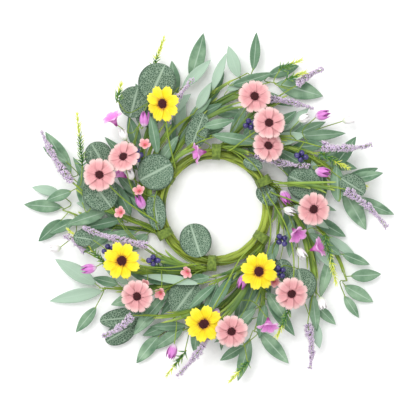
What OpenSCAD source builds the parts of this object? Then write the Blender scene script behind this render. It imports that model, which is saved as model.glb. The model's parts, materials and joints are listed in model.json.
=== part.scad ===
// Artificial floral wreath: a vine ring with taped bundles of wired stems that sweep
// outwards clockwise. It lies on its back, +Z up, with the ring's centre as the origin.

/* [Ring] */
// Radius of the ring, to the middle of its vines
ring_r = 65; // [58:0.5:78]
// Thickness of one vine in the ring
vine_d = 6.6; // [5:0.2:7.6]
// Thickness of the steel hoop that the vines are wound on
hoop_d = 2.8; // [2:0.1:3]
// Thickness of the floral tape
tape_t = 0.6; // [0.4:0.1:1]
// Length of one tape wrap along the ring, in degrees
tape_sweep = 9; // [6:1:14]

/* [Layers] */
// Height of the lowest layer of stems where it leaves the ring
layer_z = 3.4; // [2.5:0.1:6]
// Clearance between two layers of stems at the ring
layer_clear = 0.6; // [0.4:0.1:2]
// Upward slope of the lowest layer, in degrees
layer_slope = 1; // [0:0.5:3]
// Extra slope of each layer above it, in degrees
slope_step = 1.5; // [1:0.1:2.2]

/* [Leaves and stems] */
// Size of every leaf and blossom, against the drawn size
bloom_size = 1; // [0.8:0.02:1.1]
// Thickness of a fabric leaf
leaf_t = 0.8; // [0.5:0.1:1.2]
// Thickness of a leaf's stalk
stalk_d = 1.4; // [1:0.1:1.8]
// Thickness of a wired stem
stem_d = 2; // [1.4:0.1:2.4]

/* [Blossoms] */
// Diameter of a yellow daisy
yellow_d = 48; // [40:1:54]
// Diameter of a pink daisy
pink_d = 42; // [34:1:46]
// Diameter of a daisy's dark eye
eye_d = 15; // [11:0.5:18]
// Height of a daisy above its stem's layer
neck_h = 9; // [7:0.5:14]
// Diameter of a berry
berry_d = 7; // [5:0.5:8]
// Thickness of a flower head's petals
petal_t = 1.2; // [0.8:0.1:1.6]
// Height of a daisy's green cup
calyx_h = 5; // [4:0.5:6]

/* [Daisy hinges] */
// Radius of the eyelet that a front daisy turns on
eyelet_r = 1.7; // [1.5:0.1:2]
// Clearance between an eyelet and its wire anchor
eyelet_gap = 0.4; // [0.3:0.1:0.8]

/* [Hidden] */

vine_r = vine_d / 2;
vine_gap = 0.1;                       // clearance of a vine beside its neighbour and the tape
row_gap = 0.4;                        // clearance between two rows of vines
hoop_gap = 0.15;                      // clearance of the hoop among its four vines
// half the distance between the two columns of vines, which hold the hoop between them
column = max(
    vine_r + vine_gap,
    sqrt(pow(vine_r + hoop_d / 2 + hoop_gap, 2) - pow((vine_d + row_gap) / 2, 2))
);
row_1 = tape_t + vine_r + vine_gap;   // heights of the three rows of vines
row_2 = row_1 + vine_d + row_gap;
row_3 = row_2 + 1.78 * vine_r + row_gap;
layer_gap = stem_d + layer_clear;     // height between two layers of stems at the ring
stem_start_r = ring_r + column + vine_r + stem_d / 2 + 0.5;
tape_in = ring_r - column - vine_r - vine_gap;
tape_out = stem_start_r + stem_d / 2 + 2.6;
stem_hold = 1.3;                      // how far the tape covers a stem's foot, in degrees
tape_start = tape_sweep / 2 - stem_hold;
anchor_drop = 1.6;                    // how far the wire anchors lie under a wrap's top
anchor_d = 1.6;
table_ring_r = 65;                    // the ring that the tables' radii are drawn for

// ---- where things are -----------------------------------------------------------------

// Slope of a layer, in degrees, and its height at a distance from the ring's centre
function slope(k) = layer_slope + k * slope_step;
function layer(k, r) = layer_z + k * layer_gap + (r - stem_start_r) * tan(slope(k));
function at(a, r, z) = [r * cos(a), r * sin(a), z];
// A radius from the tables, moved with the ring, and a place on a layer at such a radius
function out(r) = r + ring_r - table_ring_r;
function spot(a, r, k) = at(a, out(r), layer(k, out(r)));
function flat(v) = [v[0], v[1], 0];
function unit(v) = v / norm(v);

// A stem's line: it leaves the tape along the ring and swings outwards, clockwise.
// k: layer, a0: angle of the tape, a1 and r1: where it ends, from the tables
function swing(k, a0, a1, r1, n = 7) = [
    for (i = [0 : n])
        let (t = i / n, r = stem_start_r + (out(r1) - stem_start_r) * pow(t, 1.6), s = a0 + tape_sweep / 2)
            at(s + (a1 - s) * t, r, layer(k, r))
];
function nearest(path, p, i = 0, best = 0) =
    i == len(path) ? path[best]
    : nearest(path, p, i + 1, norm(path[i] - p) < norm(path[best] - p) ? i : best);

// Tube along a line of points
module tube(path, d, sides = 6) {
    n = len(path);
    side_way = unit(cross(flat(path[n - 1] - path[0]), [0, 0, 1]));
    function along(i) = unit(path[min(i + 1, n - 1)] - path[max(i - 1, 0)]);
    rings = [
        for (i = [0 : n - 1])
            let (t = along(i), s = unit(side_way - (side_way * t) * t), u = cross(s, t))
                for (j = [0 : sides - 1])
                    path[i] + d / 2 * (cos(360 * j / sides) * s + sin(360 * j / sides) * u)
    ];
    walls = [
        for (i = [0 : n - 2])
            for (j = [0 : sides - 1])
                let (a = i * sides + j, b = i * sides + (j + 1) % sides)
                    for (face = [[a, b, a + sides], [b, b + sides, a + sides]]) face
    ];
    ends = [[for (j = [sides - 1 : -1 : 0]) j], [for (j = [0 : sides - 1]) (n - 1) * sides + j]];
    polyhedron(rings, concat(walls, ends), convexity = 4);
}

// Straight rod between two points
module rod(p, q, d) {
    v = q - p;
    translate(p)
        rotate([0, 0, atan2(v[1], v[0])])
            rotate([0, 90 - asin(v[2] / norm(v)), 0])
                cylinder(h = norm(v), d = d, $fn = 6);
}

// Stalk of a leaf, from just inside the foot of its blade to the stem
module stalk(foot, stem) rod(foot + 3 * unit(foot - stem), stem, stalk_d);

// Puts something made along +X on a layer: at angle a, radius r, pointing along heading h
module lay(a, r, k, h, roll = 0) {
    translate(spot(a, r, k))
        rotate([0, 0, a])
            rotate([0, -slope(k), 0])
                rotate([0, 0, h - a])
                    rotate([roll, 0, 0])
                        children();
}

// ---- ring -----------------------------------------------------------------------------

module torus(r, z, d) {
    translate([0, 0, z])
        rotate_extrude($fn = 96)
            translate([r, 0])
                circle(d = d, $fn = 32);
}

module hoop_wire() color("dimgray") torus(ring_r, (row_1 + row_2) / 2, hoop_d);

VINES = [[-1, row_1], [1, row_1], [-1, row_2], [1, row_2], [0, row_3]];
module ring_vine(i) color("olivedrab") torus(ring_r + VINES[i][0] * column, VINES[i][1], vine_d);

// Tape wraps, one at the foot of each bundle of stems, each [angle, layers that it holds]
WRAPS = [[20, 10.4], [80, 10.4], [140, 8.1], [200, 10.4], [260, 10.4], [320, 10.4]];
function wrap_top(a) = layer_z + [for (w = WRAPS) if (w[0] == a % 360) w[1]][0] * layer_gap;
function anchor_z(a) = wrap_top(a) - anchor_drop;
module floral_tape() {
    color("darkolivegreen")
        for (w = WRAPS)
            rotate([0, 0, w[0] + tape_start])
                rotate_extrude(angle = tape_sweep, $fn = 96)
                    difference() {
                        translate([tape_in - tape_t, 0])
                            square([tape_out - tape_in + 2 * tape_t, wrap_top(w[0]) + tape_t]);
                        translate([tape_in, tape_t])
                            square([tape_out - tape_in, wrap_top(w[0]) - tape_t]);
                    }
}

// ---- willow leaves --------------------------------------------------------------------

// Leaf blade with two round edges, from the origin along +X
module blade(l, w) {
    translate([0, 0, -leaf_t / 2])
        linear_extrude(leaf_t)
            polygon([
                for (side = [1, -1])
                    for (i = [0 : 5])
                        let (t = side > 0 ? i / 6 : 1 - i / 6)
                            [l * t, side * w / 2 * sin(180 * pow(t, 0.9))]
            ]);
}

// Sprays of willow leaves, each [region, layer, tape angle, [end angle, end radius], leaves],
// and each leaf [angle, radius, heading, length, width, layer step, roll]
WILLOW = [
    ["left", 1.7, 200, [168, 176],
        [[167, 177, 121, 60, 17, 0, 4], [163, 184, 150, 36, 12, 0.8, -5],
         [173, 172, 200, 34, 13, 0.5, 5], [179, 160, 84, 46, 17, 1.5, -4],
         [181, 131, 167, 36, 13, -0.1, 5], [182, 115, 113, 44, 11, 0.2, -8],
         [174, 145, 119, 52, 11, -0.4, 5], [186, 101, 117, 48, 14, 1.1, 3],
         [187, 111, 195, 48, 12, 0.1, -8], [182, 129, 197, 52, 15, 1.1, -3]]],
    ["left", 0, 200, [181, 184],
        [[180, 182, 177, 48, 15, 0, 4], [184, 184, 223, 40, 15, 0, -4],
         [185, 168, 206, 36, 13, 0.7, 5], [175, 186, 165, 36, 12, -0.2, 3],
         [198, 98, 188, 44, 12, 1.3, -8], [190, 111, 139, 36, 13, 1, 3],
         [195, 112, 204, 40, 12, -0, 8], [190, 132, 194, 40, 14, 0.3, -3],
         [192, 124, 216, 48, 13, 0.6, 5], [201, 85, 219, 36, 15, 0.2, -8]]],
    ["lower_left", 1, 260, [215, 170],
        [[214, 170, 149, 60, 18, 0, 5], [217, 168, 189, 66, 16, -0.8, -4],
         [220, 186, 232, 40, 13, -0.4, 4], [219, 148, 168, 32, 12, 1.2, 5],
         [242, 106, 231, 40, 13, -0.2, 8], [233, 114, 154, 44, 14, 1.2, -5],
         [230, 135, 203, 40, 15, 0.6, -8], [250, 81, 160, 48, 12, 0.1, 3],
         [223, 140, 140, 40, 11, 0.6, 3], [244, 90, 168, 44, 11, -0.5, -8]]],
    ["lower_left", 0, 320, [250, 166],
        [[247, 168, 229, 44, 16, 0, 5], [256, 150, 214, 46, 14, 0.4, -5],
         [262, 140, 262, 38, 13, -0.3, 4], [249, 152, 205, 34, 12, 0.5, 2],
         [271, 124, 192, 40, 13, 0.3, -3], [290, 105, 260, 52, 11, 1.2, -5],
         [295, 89, 211, 36, 14, 1.4, -5], [257, 147, 180, 44, 11, 1.1, -5],
         [310, 84, 288, 44, 15, 0.7, 5], [277, 122, 262, 52, 11, 0.5, -3],
         [306, 78, 230, 44, 13, 0.1, -8]]],
    ["lower_left", 2.5, 260, [236, 128],
        [[240, 126, 234, 56, 17, 0, 6], [234, 132, 206, 34, 12, 0.5, -5],
         [257, 75, 189, 40, 12, -0.2, -5], [250, 99, 230, 48, 12, -0.7, -5],
         [260, 82, 230, 36, 11, 0.7, -3], [243, 101, 174, 44, 12, 0.8, 5],
         [241, 122, 231, 40, 13, 1.3, 3]]],
    ["bottom", 1.5, 320, [288, 158],
        [[286, 162, 255, 56, 15, 0, -5], [290, 160, 313, 52, 17, -0.7, 5],
         [283, 170, 212, 36, 12, 0.4, 4], [298, 132, 262, 42, 13, 0.6, 5],
         [319, 83, 307, 56, 13, 0.2, 5], [307, 92, 249, 56, 12, 0.2, 3],
         [300, 127, 308, 56, 15, 0.6, -8], [300, 113, 241, 36, 13, -0.3, 3],
         [293, 132, 221, 52, 14, 1.3, -8], [290, 142, 213, 56, 11, 0.4, -8],
         [302, 120, 306, 44, 15, 1.3, -8]]],
    ["lower_right", 0.2, 380, [331, 184],
        [[333, 184, 2, 38, 15, 0, 4], [329, 184, 329, 40, 16, -0.4, -4],
         [326, 190, 305, 32, 11, 0.2, 4], [340, 164, 338, 36, 12, 0.8, 4], [3, 91, 275, 44, 15, -0, 5],
         [354, 122, 329, 44, 15, 0.5, 8], [353, 115, 282, 56, 11, 0.9, 3],
         [357, 105, 289, 48, 11, -0.2, 5], [346, 142, 322, 44, 11, -0.1, -3],
         [9, 96, 342, 56, 11, 0.9, 8], [339, 153, 257, 56, 13, 0.7, -3]]],
    ["lower_right", 1.8, 380, [313, 178],
        [[312, 181, 281, 36, 13, 0, 4], [319, 158, 275, 46, 13, 0.6, -5],
         [316, 170, 318, 34, 12, -0.5, 4], [338, 131, 317, 36, 11, 1, -3],
         [8, 88, 358, 44, 13, 1.3, 8], [353, 96, 264, 48, 12, 1, 3], [322, 151, 225, 44, 11, -0.1, 5],
         [345, 118, 324, 48, 14, 0.3, -5], [2, 95, 328, 52, 14, 0.6, -8]]],
    ["right", 0.6, 80, [6, 166],
        [[4, 168, 340, 54, 15, 0, 5], [8, 158, 299, 56, 20, -0.7, -4], [12, 160, 17, 44, 12, 0.6, 5],
         [31, 118, 293, 40, 11, 1.2, -8], [38, 117, 5, 44, 14, 1.2, -5],
         [20, 136, 279, 36, 14, 0.9, 3], [26, 135, 14, 40, 11, -0, -8],
         [47, 107, 39, 52, 12, -0.3, -5], [40, 104, 302, 56, 14, -0.2, 8]]],
    ["right", 3.3, 80, [13, 158],
        [[12, 162, 8, 46, 13, 0, -4], [18, 150, 52, 48, 16, -0.2, 4], [2, 150, 92, 46, 18, 1.2, 5],
         [64, 90, 24, 52, 15, 0.7, 3], [43, 104, 329, 52, 12, -0.3, 8], [50, 104, 10, 44, 15, 1.3, -5],
         [26, 131, 292, 40, 11, 0.5, 8], [59, 85, 340, 52, 13, 0.3, 8], [23, 145, 346, 40, 13, -0.8, 5]]],
    ["upper_right", 1.5, 80, [38, 140],
        [[40, 134, 4, 56, 13, 0.4, 5], [43, 128, 20, 44, 13, -0.3, -4], [55, 111, 35, 44, 13, 1, 3],
         [76, 82, 68, 52, 13, -0.2, -3], [63, 86, 330, 36, 14, -0.1, -8],
         [68, 92, 38, 36, 14, 0.9, -3], [49, 122, 38, 44, 13, 0.3, -3]]],
    ["upper_right", 0.4, 140, [66, 166],
        [[64, 168, 345, 60, 23, 0, -5], [68, 172, 20, 40, 14, -0.7, 4], [78, 140, 356, 40, 11, 0.8, 3],
         [123, 90, 102, 44, 13, 0.4, 8], [116, 96, 87, 52, 13, 0.2, -5],
         [73, 148, 343, 56, 12, 0.1, -8], [91, 118, 354, 36, 15, 0.3, -3],
         [97, 121, 59, 52, 15, -0.4, 5]]],
    ["top", 0.85, 200, [102, 154],
        [[101, 156, 72, 60, 18, 0, 4], [105, 150, 43, 48, 13, 0.7, -5],
         [108, 145, 100, 40, 13, -0.5, 4], [182, 85, 138, 36, 14, -0.7, -5],
         [171, 91, 138, 40, 13, 0.6, 5], [126, 130, 111, 48, 14, 0, -5], [165, 87, 71, 52, 14, 0.3, 8],
         [120, 127, 36, 44, 15, 0.3, -5], [154, 103, 133, 56, 12, -0.6, -3],
         [143, 113, 109, 44, 15, 0.6, 3]]],
    ["top", 1.3, 140, [76, 168],
        [[74, 172, 84, 46, 12, 0, 4], [79, 160, 110, 40, 15, 0.6, -5], [84, 142, 31, 30, 11, -0.6, 4],
         [102, 112, 28, 36, 11, 0.9, 8], [120, 87, 54, 44, 11, 0.4, 5], [118, 88, 19, 56, 11, -0.4, 8],
         [91, 141, 71, 48, 11, 1, -3], [82, 149, 16, 52, 13, 0.3, 3]]],
    ["top", 3.85, 200, [103, 116],
        [[101, 119, 61, 38, 12, 0, 5], [106, 112, 40, 36, 11, -0.6, -5], [135, 101, 95, 40, 12, 1, 3],
         [149, 85, 57, 52, 14, -0, -5], [121, 110, 89, 36, 13, 0.3, -8]]],
    ["inner", 7.4, 140, [88, 86],
        [[92, 88, 350, 62, 14, 0.5, -4], [98, 98, 12, 38, 12, 0.8, -5]]],
    ["inner", 6.95, 200, [140, 90],
        [[138, 92, 100, 50, 12, 0, 5], [191, 78, 132, 36, 11, -0.5, 5]]],
    ["inner", 6.4, 320, [262, 92],
        [[260, 94, 170, 70, 11, 0, 5], [268, 84, 190, 44, 13, -0.9, -5],
         [284, 87, 237, 52, 12, 0.8, -3], [273, 91, 248, 48, 12, -0.6, -3],
         [271, 93, 221, 44, 11, 0.9, 3]]],
    ["inner", 5.8, 380, [328, 86],
        [[324, 88, 262, 48, 12, 0, 5], [334, 87, 246, 40, 12, -0.9, -5]]]
];

function spray_stem(s, n = 7) = swing(s[1], s[2], s[3][0], s[3][1], n = n);

module willow_leaves(region) {
    color("darkseagreen")
        for (s = WILLOW)
            if (s[0] == region)
                for (f = s[4]) {
                    k = s[1] + f[5];
                    foot = spot(f[0], f[1], k);
                    lay(f[0], f[1], k, f[2], f[6]) blade(f[3] * bloom_size, f[4] * bloom_size);
                    stalk(foot, nearest(spray_stem(s, 48), foot));
                }
}

module willow_stems() color("yellowgreen") for (s = WILLOW) tube(spray_stem(s), stem_d);

// ---- round dollar leaves --------------------------------------------------------------

// Leaf with a round outline, from the origin along +X: length l, width w
module coin(l, w) {
    translate([0, 0, -leaf_t / 2])
        linear_extrude(leaf_t)
            polygon([for (i = [0 : 15]) [l / 2 * (1 - cos(22.5 * i)), w / 2 * sin(22.5 * i)]]);
}

// [group, layer, tape angle, foot angle, foot radius, heading, length, width, roll]
DOLLAR = [
    ["upper", 3.1, 200, 133, 149, 76, 38, 37, 4],
    ["upper", 4.5, 200, 121, 152, 66, 46, 45, -5],
    ["upper", 2.45, 200, 132, 135, 50, 32, 29, 5],
    ["upper", 3.2, 260, 160, 140, 120, 34, 33, 5],
    ["upper", 5.9, 260, 180, 124, 127, 44, 43, -5],
    ["upper", 4.3, 80, 23, 98, 336, 42, 41, 5],
    ["upper", 4.9, 80, 13, 157, 328, 34, 28, 5],
    ["lower", 3.7, 320, 257, 95, 233, 44, 42, 1],
    ["lower", 0.3, 260, 236, 172, 210, 40, 25, -5],
    ["lower", 0.7, 320, 238, 155, 186, 56, 24, 5],
    ["lower", 2.2, 320, 268, 139, 227, 26, 22, 4],
    ["lower", 4.7, 380, 324, 126, 281, 38, 37, 4],
    ["lower", 3.9, 20, -38, 102, 283, 26, 24, 5],
    ["lower", 6.5, 260, 195, 151, 171, 24, 20, 5],
    ["inner", 9.3, 200, 163, 72, 95, 44, 43, -10],
    ["inner", 6.5, 140, 112, 76, 70, 46, 26, -5],
    ["inner", 8.9, 260, 204, 68, 111, 46, 23, 5],
    ["inner", 8.6, 320, 255, 62, 107, 42, 38, -4],
    ["inner", 8.1, 80, 58, 67, 340, 24, 16, 5],
    ["inner", 8.8, 80, 28, 68, 285, 34, 18, 5]
];

function own_stem(e, n = 6) = swing(e[1], e[2], e[3], e[4], n = n);

module dollar_leaves(group) {
    color("slategray")
        for (e = DOLLAR)
            if (e[0] == group) lay(e[3], e[4], e[1], e[5], e[8]) coin(e[6] * bloom_size, e[7] * bloom_size);
}

module dollar_stems() color("olive") for (e = DOLLAR) tube(own_stem(e), stalk_d);

// ---- lilac and rosemary sprigs --------------------------------------------------------

// [group, layer, tape angle, foot angle, foot radius, heading, length]
LILAC = [
    ["left", 5.25, 200, 170, 174, 121, 74],
    ["left", 6.1, 200, 120, 118, 58, 64],
    ["left", 7.95, 260, 210, 92, 165, 84],
    ["left", 4.1, 260, 199, 164, 144, 34],
    ["left", 4.4, 320, 233, 163, 215, 46],
    ["left", 5.5, 320, 270, 143, 234, 76],
    ["right", 3.2, 140, 70, 141, 350, 74],
    ["right", 2.45, 80, 56, 178, 31, 40],
    ["right", 6.18, 80, 30, 147, 2, 64],
    ["right", 7, 80, 54, 80, 348, 70],
    ["right", 6.65, 380, 368, 159, 318, 70],
    ["right", 2.9, 380, 309, 180, 273, 56]
];
ROSEMARY = [
    ["left", 4, 200, 163, 166, 96, 68],
    ["left", 1.8, 140, 117, 174, 70, 58],
    ["left", 8.1, 140, 133, 172, 77, 28],
    ["left", 5.2, 260, 211, 144, 138, 74],
    ["left", 3.3, 320, 259, 176, 232, 42],
    ["left", 5, 260, 232, 96, 156, 34],
    ["right", 2.5, 140, 65, 184, 23, 34],
    ["right", 3.6, 80, 61, 177, 19, 30],
    ["right", 5.2, 80, 28, 143, 331, 44],
    ["right", 1.9, 80, 11, 155, 353, 36],
    ["right", 5.5, 20, -13, 137, 283, 66],
    ["right", 5.2, 380, 307, 152, 246, 42],
    ["right", 4.3, 320, 283, 190, 226, 38]
];

module sprigs(list, group, foot_d, tip_d) {
    for (e = list)
        if (e[0] == group)
            lay(e[3], e[4], e[1], e[5])
                rotate([0, 90, 0]) cylinder(h = e[6] * bloom_size, d1 = foot_d, d2 = tip_d, $fn = 12);
}

module lilac_sprigs(group) color("thistle") sprigs(LILAC, group, 9, 4);
module rosemary_sprigs(group) color("forestgreen") sprigs(ROSEMARY, group, 6, 3);
module lilac_stems() color("olivedrab") for (e = LILAC) tube(own_stem(e), stem_d);
module rosemary_stems() {
    color("olivedrab")
        for (e = ROSEMARY) {
            p = spot(e[3], e[4], e[1]);
            short_stalk(p, 4 * unit([cos(e[5]), sin(e[5]), 0]));
        }
}

// ---- daisies --------------------------------------------------------------------------

// [layer, tape angle, angle, radius, tilt, tilt heading, place on the ring's top, how late it swings out]
YELLOW = [[8, 260, 210, 128, 8, 200, 0, 1.5], [8, 140, 116, 139, 30, 200, 1, 1.5],
          [8.4, 380, 305, 94, 6, 300, 2, 1.5], [7.2, 320, 265, 140, 10, 260, 1, 3]];
PINK = [[8, 200, 164, 143, 8, 180, 0, 1.5], [8.4, 80, 57, 121, 10, 60, 0, 1.5],
        [8, 380, 359, 119, 12, 0, 0, 1.5], [7.4, 380, 312, 139, 14, 290, 1, 1.5]];
BACK = [[7.15, 260, 229, 141, 12, 230], [7.6, 320, 278, 150, 10, 290], [5.48, 80, 70, 142, 12, 70],
        [7.75, 200, 151, 124, 30, 120], [9.5, 80, 49, 98, 25, 30]];

function head_at(e) = spot(e[2], e[3], e[0]) + [0, 0, neck_h];
module on_head(e) translate(head_at(e)) rotate([0, 0, e[5]]) rotate([0, e[4], 0]) children();
function normal(e) = [sin(e[4]) * cos(e[5]), sin(e[4]) * sin(e[5]), cos(e[4])];

// Flower head: a ring of petals round the eye; z = 0 is the underside
module petals(d, count) {
    color(count == 8 ? "yellow" : "pink")
        linear_extrude(petal_t)
            union() {
                circle(d = d * 0.42, $fn = 24);
                for (i = [0 : count - 1])
                    rotate(360 * i / count)
                        polygon([[0, -d * 0.04], [d * 0.2, -d * 0.1], [d * 0.42, -d * 0.13], [d * 0.5, -d * 0.06],
                                 [d * 0.5, d * 0.06], [d * 0.42, d * 0.13], [d * 0.2, d * 0.1], [0, d * 0.04]]);
            }
}
module eye(d) color("maroon") translate([0, 0, petal_t]) {
    cylinder(h = 1.6, d = d, $fn = 48);
    translate([0, 0, 1.6]) cylinder(h = 1.6, d1 = d, d2 = d * 0.6, $fn = 48);
}

// The wired stems of the front daisies turn on an eyelet just outside the tape
function hinge_at(e) = at(e[1] - 4, ring_r + 5.5 - 4.8 * e[6], anchor_z(e[1]));
function heading(e) = let (v = head_at(e) - hinge_at(e)) atan2(v[1], v[0]);

module daisy_stem(e) {
    p = hinge_at(e);
    q = head_at(e) - (calyx_h - 0.5) * normal(e);
    pa = e[1] - 4;
    pr = norm(flat(p));
    color("yellowgreen") {
        tube([for (i = [0 : 7])
            let (t = i / 7)
                at(pa + (e[2] - pa) * t, pr + (norm(flat(q)) - pr) * pow(t, e[7]), p[2] + (q[2] - p[2]) * pow(t, 1.3))],
            stem_d);
        translate(p) rotate([0, 0, heading(e)]) rotate([90, 0, 0])
            cylinder(h = 2.6, r = eyelet_r, center = true, $fn = 32);
        on_head(e) translate([0, 0, -calyx_h]) cylinder(h = calyx_h, d1 = 3, d2 = 9, $fn = 24);
    }
}
module wire_anchors() {
    color("dimgray")
        for (e = concat(YELLOW, PINK)) {
            r = norm(flat(hinge_at(e)));
            gap_a = (eyelet_r + eyelet_gap) / r * 57.3;
            rod(at(e[1] - 4 + gap_a, r, anchor_z(e[1])), at(e[1] + tape_sweep, r, anchor_z(e[1])), anchor_d);
        }
}

// ---- other blossoms -------------------------------------------------------------------

// [kind, layer, foot angle, foot radius, heading, pitch up]
BLOOMS = [
    ["freesia", 5.9, 140, 153, 120, 25], ["freesia", 5.8, 296, 148, 275, 30],
    ["freesia", 6.4, 336, 127, 20, 20], ["freesia", 7.2, 345, 98, 310, 40],
    ["freesia", 9.6, 98, 68, 188, 20], ["freesia", 5.8, 161, 111, 150, 15],
    ["pink_tulip", 6.6, 207, 159, 190, 15], ["pink_tulip", 3.4, 254, 172, 250, 10],
    ["pink_tulip", 5, 272, 122, 250, 15], ["pink_tulip", 5.2, 42, 164, 12, 20],
    ["pink_tulip", 5.7, 131, 129, 85, 15], ["pink_tulip", 8.9, 181, 85, 115, 25],
    ["pink_tulip", 6.9, 295, 89, 250, 15], ["pink_tulip", 6, 14, 84, 300, 20],
    ["pink_tulip", 6, 20, 130, 350, 20], ["white_tulip", 6.7, 334, 112, 310, 15],
    ["white_tulip", 8.2, 359, 84, 340, 25], ["white_tulip", 5.8, 143, 134, 110, 10],
    ["white_tulip", 6.8, 161, 104, 115, 30], ["white_tulip", 6.4, 46, 146, 20, 20],
    ["white_tulip", 2, 34, 187, 10, 10], ["white_tulip", 1, 195, 192, 180, 10],
    ["white_tulip", 4.6, 320, 168, 285, 10], ["coral", 7.6, 138, 112, 100, 60],
    ["coral", 7.8, 229, 123, 190, 50], ["coral", 6.7, 238, 121, 225, 65],
    ["coral", 6.5, 309, 114, 315, 60], ["coral", 8.4, 168, 92, 120, 60],
    ["coral", 7.2, 183, 112, 180, 60], ["coral", 7.8, 248, 84, 200, 60],
    ["berries", 5.1, 202, 129, 200, 20], ["berries", 7.5, 317, 103, 300, 15],
    ["berries", 6.4, 33, 116, 350, 20], ["berries", 8.1, 70, 104, 20, 20],
    ["berries", 8, 224, 92, 180, 30], ["berries", 7.4, 337, 84, 305, 20],
    ["berries", 7.3, 149, 107, 95, 20]
];
function pointing(e) = [cos(e[4]) * cos(e[5]), sin(e[4]) * cos(e[5]), sin(e[5])];
function foot_at(e) = spot(e[2], e[3], e[1]);
module bloom_at(e) {
    translate(foot_at(e))
        rotate([0, 0, e[4]])
            rotate([0, 90 - e[5], 0])
                children();
}
module bell() {
    cylinder(h = 6, d1 = 3, d2 = 7, $fn = 24);
    translate([0, 0, 6]) cylinder(h = 10, d1 = 7, d2 = 22, $fn = 24);
}
module cup(d) {
    cylinder(h = d * 0.4, d1 = 3, d2 = d, $fn = 24);
    translate([0, 0, d * 0.4]) cylinder(h = d * 0.7, d = d, $fn = 24);
    translate([0, 0, d * 1.1]) cylinder(h = d * 0.4, d1 = d, d2 = d * 0.6, $fn = 24);
}
module berry_cluster() {
    for (i = [0 : 3])
        translate(berry_d * [0.58 * cos(90 * i), 0.58 * sin(90 * i), 0.6 + 0.61 * (i % 2)])
            sphere(d = berry_d, $fn = 24);
    translate([0, 0, 2.06 * berry_d]) sphere(d = berry_d, $fn = 24);
}
module blooms(kind, tint) {
    color(tint)
        for (e = BLOOMS)
            if (e[0] == kind)
                bloom_at(e) {
                    if (kind == "freesia") bell();
                    if (kind == "pink_tulip") cup(12);
                    if (kind == "white_tulip") cup(10);
                    if (kind == "coral") cylinder(h = 5, d1 = 4, d2 = 13, $fn = 24);
                    if (kind == "berries") berry_cluster();
                }
}
module back_petals() for (e = BACK) on_head(e) petals(pink_d, 10);
module back_eyes() for (e = BACK) on_head(e) eye(eye_d * 0.85);

// Short stalks run from each small bloom to the nearest main stem, along its own layer
MAIN = [
    for (s = WILLOW) for (p = spray_stem(s, 24)) p,
    for (e = DOLLAR) for (p = own_stem(e, 24)) p,
    for (e = LILAC) for (p = own_stem(e, 24)) p
];
function off_layer(p, q) = norm([p[0] - q[0], p[1] - q[1], 3 * (p[2] - q[2])]);
function host(p, i = 0, best = 0) =
    i == len(MAIN) ? MAIN[best]
    : host(p, i + 1, off_layer(p, MAIN[i]) < off_layer(p, MAIN[best]) ? i : best);
module short_stalk(p, ahead) rod(p + ahead, host(p), stalk_d);
function back_stem(e) = [
    for (i = [0 : 6])
        let (t = i / 6, a = e[1] + tape_sweep / 2, r = stem_start_r + (out(e[3]) - stem_start_r) * pow(t, 1.6))
            at(a + (e[2] - a) * t, r, layer(e[0], r) + (neck_h - 0.4) * pow(max(0, t - 0.5) * 2, 2))
];
module flower_stems() {
    color("yellowgreen") {
        for (e = BLOOMS)
            short_stalk(foot_at(e), (e[0] == "berries" ? 1.65 * berry_d : 1.5) * pointing(e));
        for (e = BACK) tube(back_stem(e), stalk_d, 5);
    }
}

hoop_wire();
for (i = [1 : 5]) ring_vine(i - 1);
floral_tape();
for (region = ["left", "lower_left", "bottom", "lower_right", "right", "upper_right", "top", "inner"])
    willow_leaves(region);
willow_stems();
for (group = ["upper", "lower", "inner"])
    dollar_leaves(group);
dollar_stems();
for (group = ["left", "right"]) {
    lilac_sprigs(group);
    rosemary_sprigs(group);
}
lilac_stems();
rosemary_stems();
wire_anchors();
for (i = [1 : 4]) {
    on_head(YELLOW[i - 1]) petals(yellow_d, 8);
    on_head(YELLOW[i - 1]) eye(eye_d);
    daisy_stem(YELLOW[i - 1]);
    on_head(PINK[i - 1]) petals(pink_d, 10);
    on_head(PINK[i - 1]) eye(eye_d * 0.85);
    daisy_stem(PINK[i - 1]);
}
back_petals();  // back_daisy_petals
back_eyes();  // back_daisy_eyes
blooms("freesia", "orchid");  // freesia_blooms
blooms("pink_tulip", "plum");  // pink_tulips
blooms("white_tulip", "white");  // white_tulips
blooms("coral", "lightcoral");  // coral_blossoms
blooms("berries", "darkslateblue");  // berries
flower_stems();
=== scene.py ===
"""Artificial floral wreath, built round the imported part: cloth leaves and petals on moulded stems.

Each sub-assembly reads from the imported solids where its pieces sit, builds them in millimetres and
hands them over in metres: ring, leaves, sprigs, daisies, other blossoms and stems. The finishes
stand before them, and the floor, the lights and the camera after them.
"""

import json
import logging
import math
import random
from collections.abc import Callable, Iterable
from dataclasses import dataclass, field
from enum import Enum

import bmesh
import bpy
import numpy as np
from mathutils import Matrix, Vector


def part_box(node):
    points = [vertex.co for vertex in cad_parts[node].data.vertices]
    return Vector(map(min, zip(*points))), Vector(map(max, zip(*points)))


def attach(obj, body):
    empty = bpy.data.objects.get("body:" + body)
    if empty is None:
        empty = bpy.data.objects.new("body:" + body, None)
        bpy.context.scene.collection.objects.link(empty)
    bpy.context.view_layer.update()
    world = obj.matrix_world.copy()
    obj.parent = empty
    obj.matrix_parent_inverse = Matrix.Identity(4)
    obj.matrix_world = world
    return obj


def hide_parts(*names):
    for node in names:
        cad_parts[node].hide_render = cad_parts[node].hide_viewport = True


LOG = logging.getLogger("wreath")
MM = 0.001
UP = Vector((0.0, 0.0, 1.0))
ROOT = "wreath"
PETAL_T = 1.2            # thickness of a flower head's flat solid, mm
LEAF_T = 0.8             # thickness of a leaf's flat solid, mm
CLOTH_T = 0.45           # thickness of leaf and petal cloth, mm

Element = bmesh.types.BMVert | bmesh.types.BMFace
Socket = bpy.types.NodeSocket
Pattern = tuple[Socket, Socket]          # a finish's colour and its height

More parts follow.
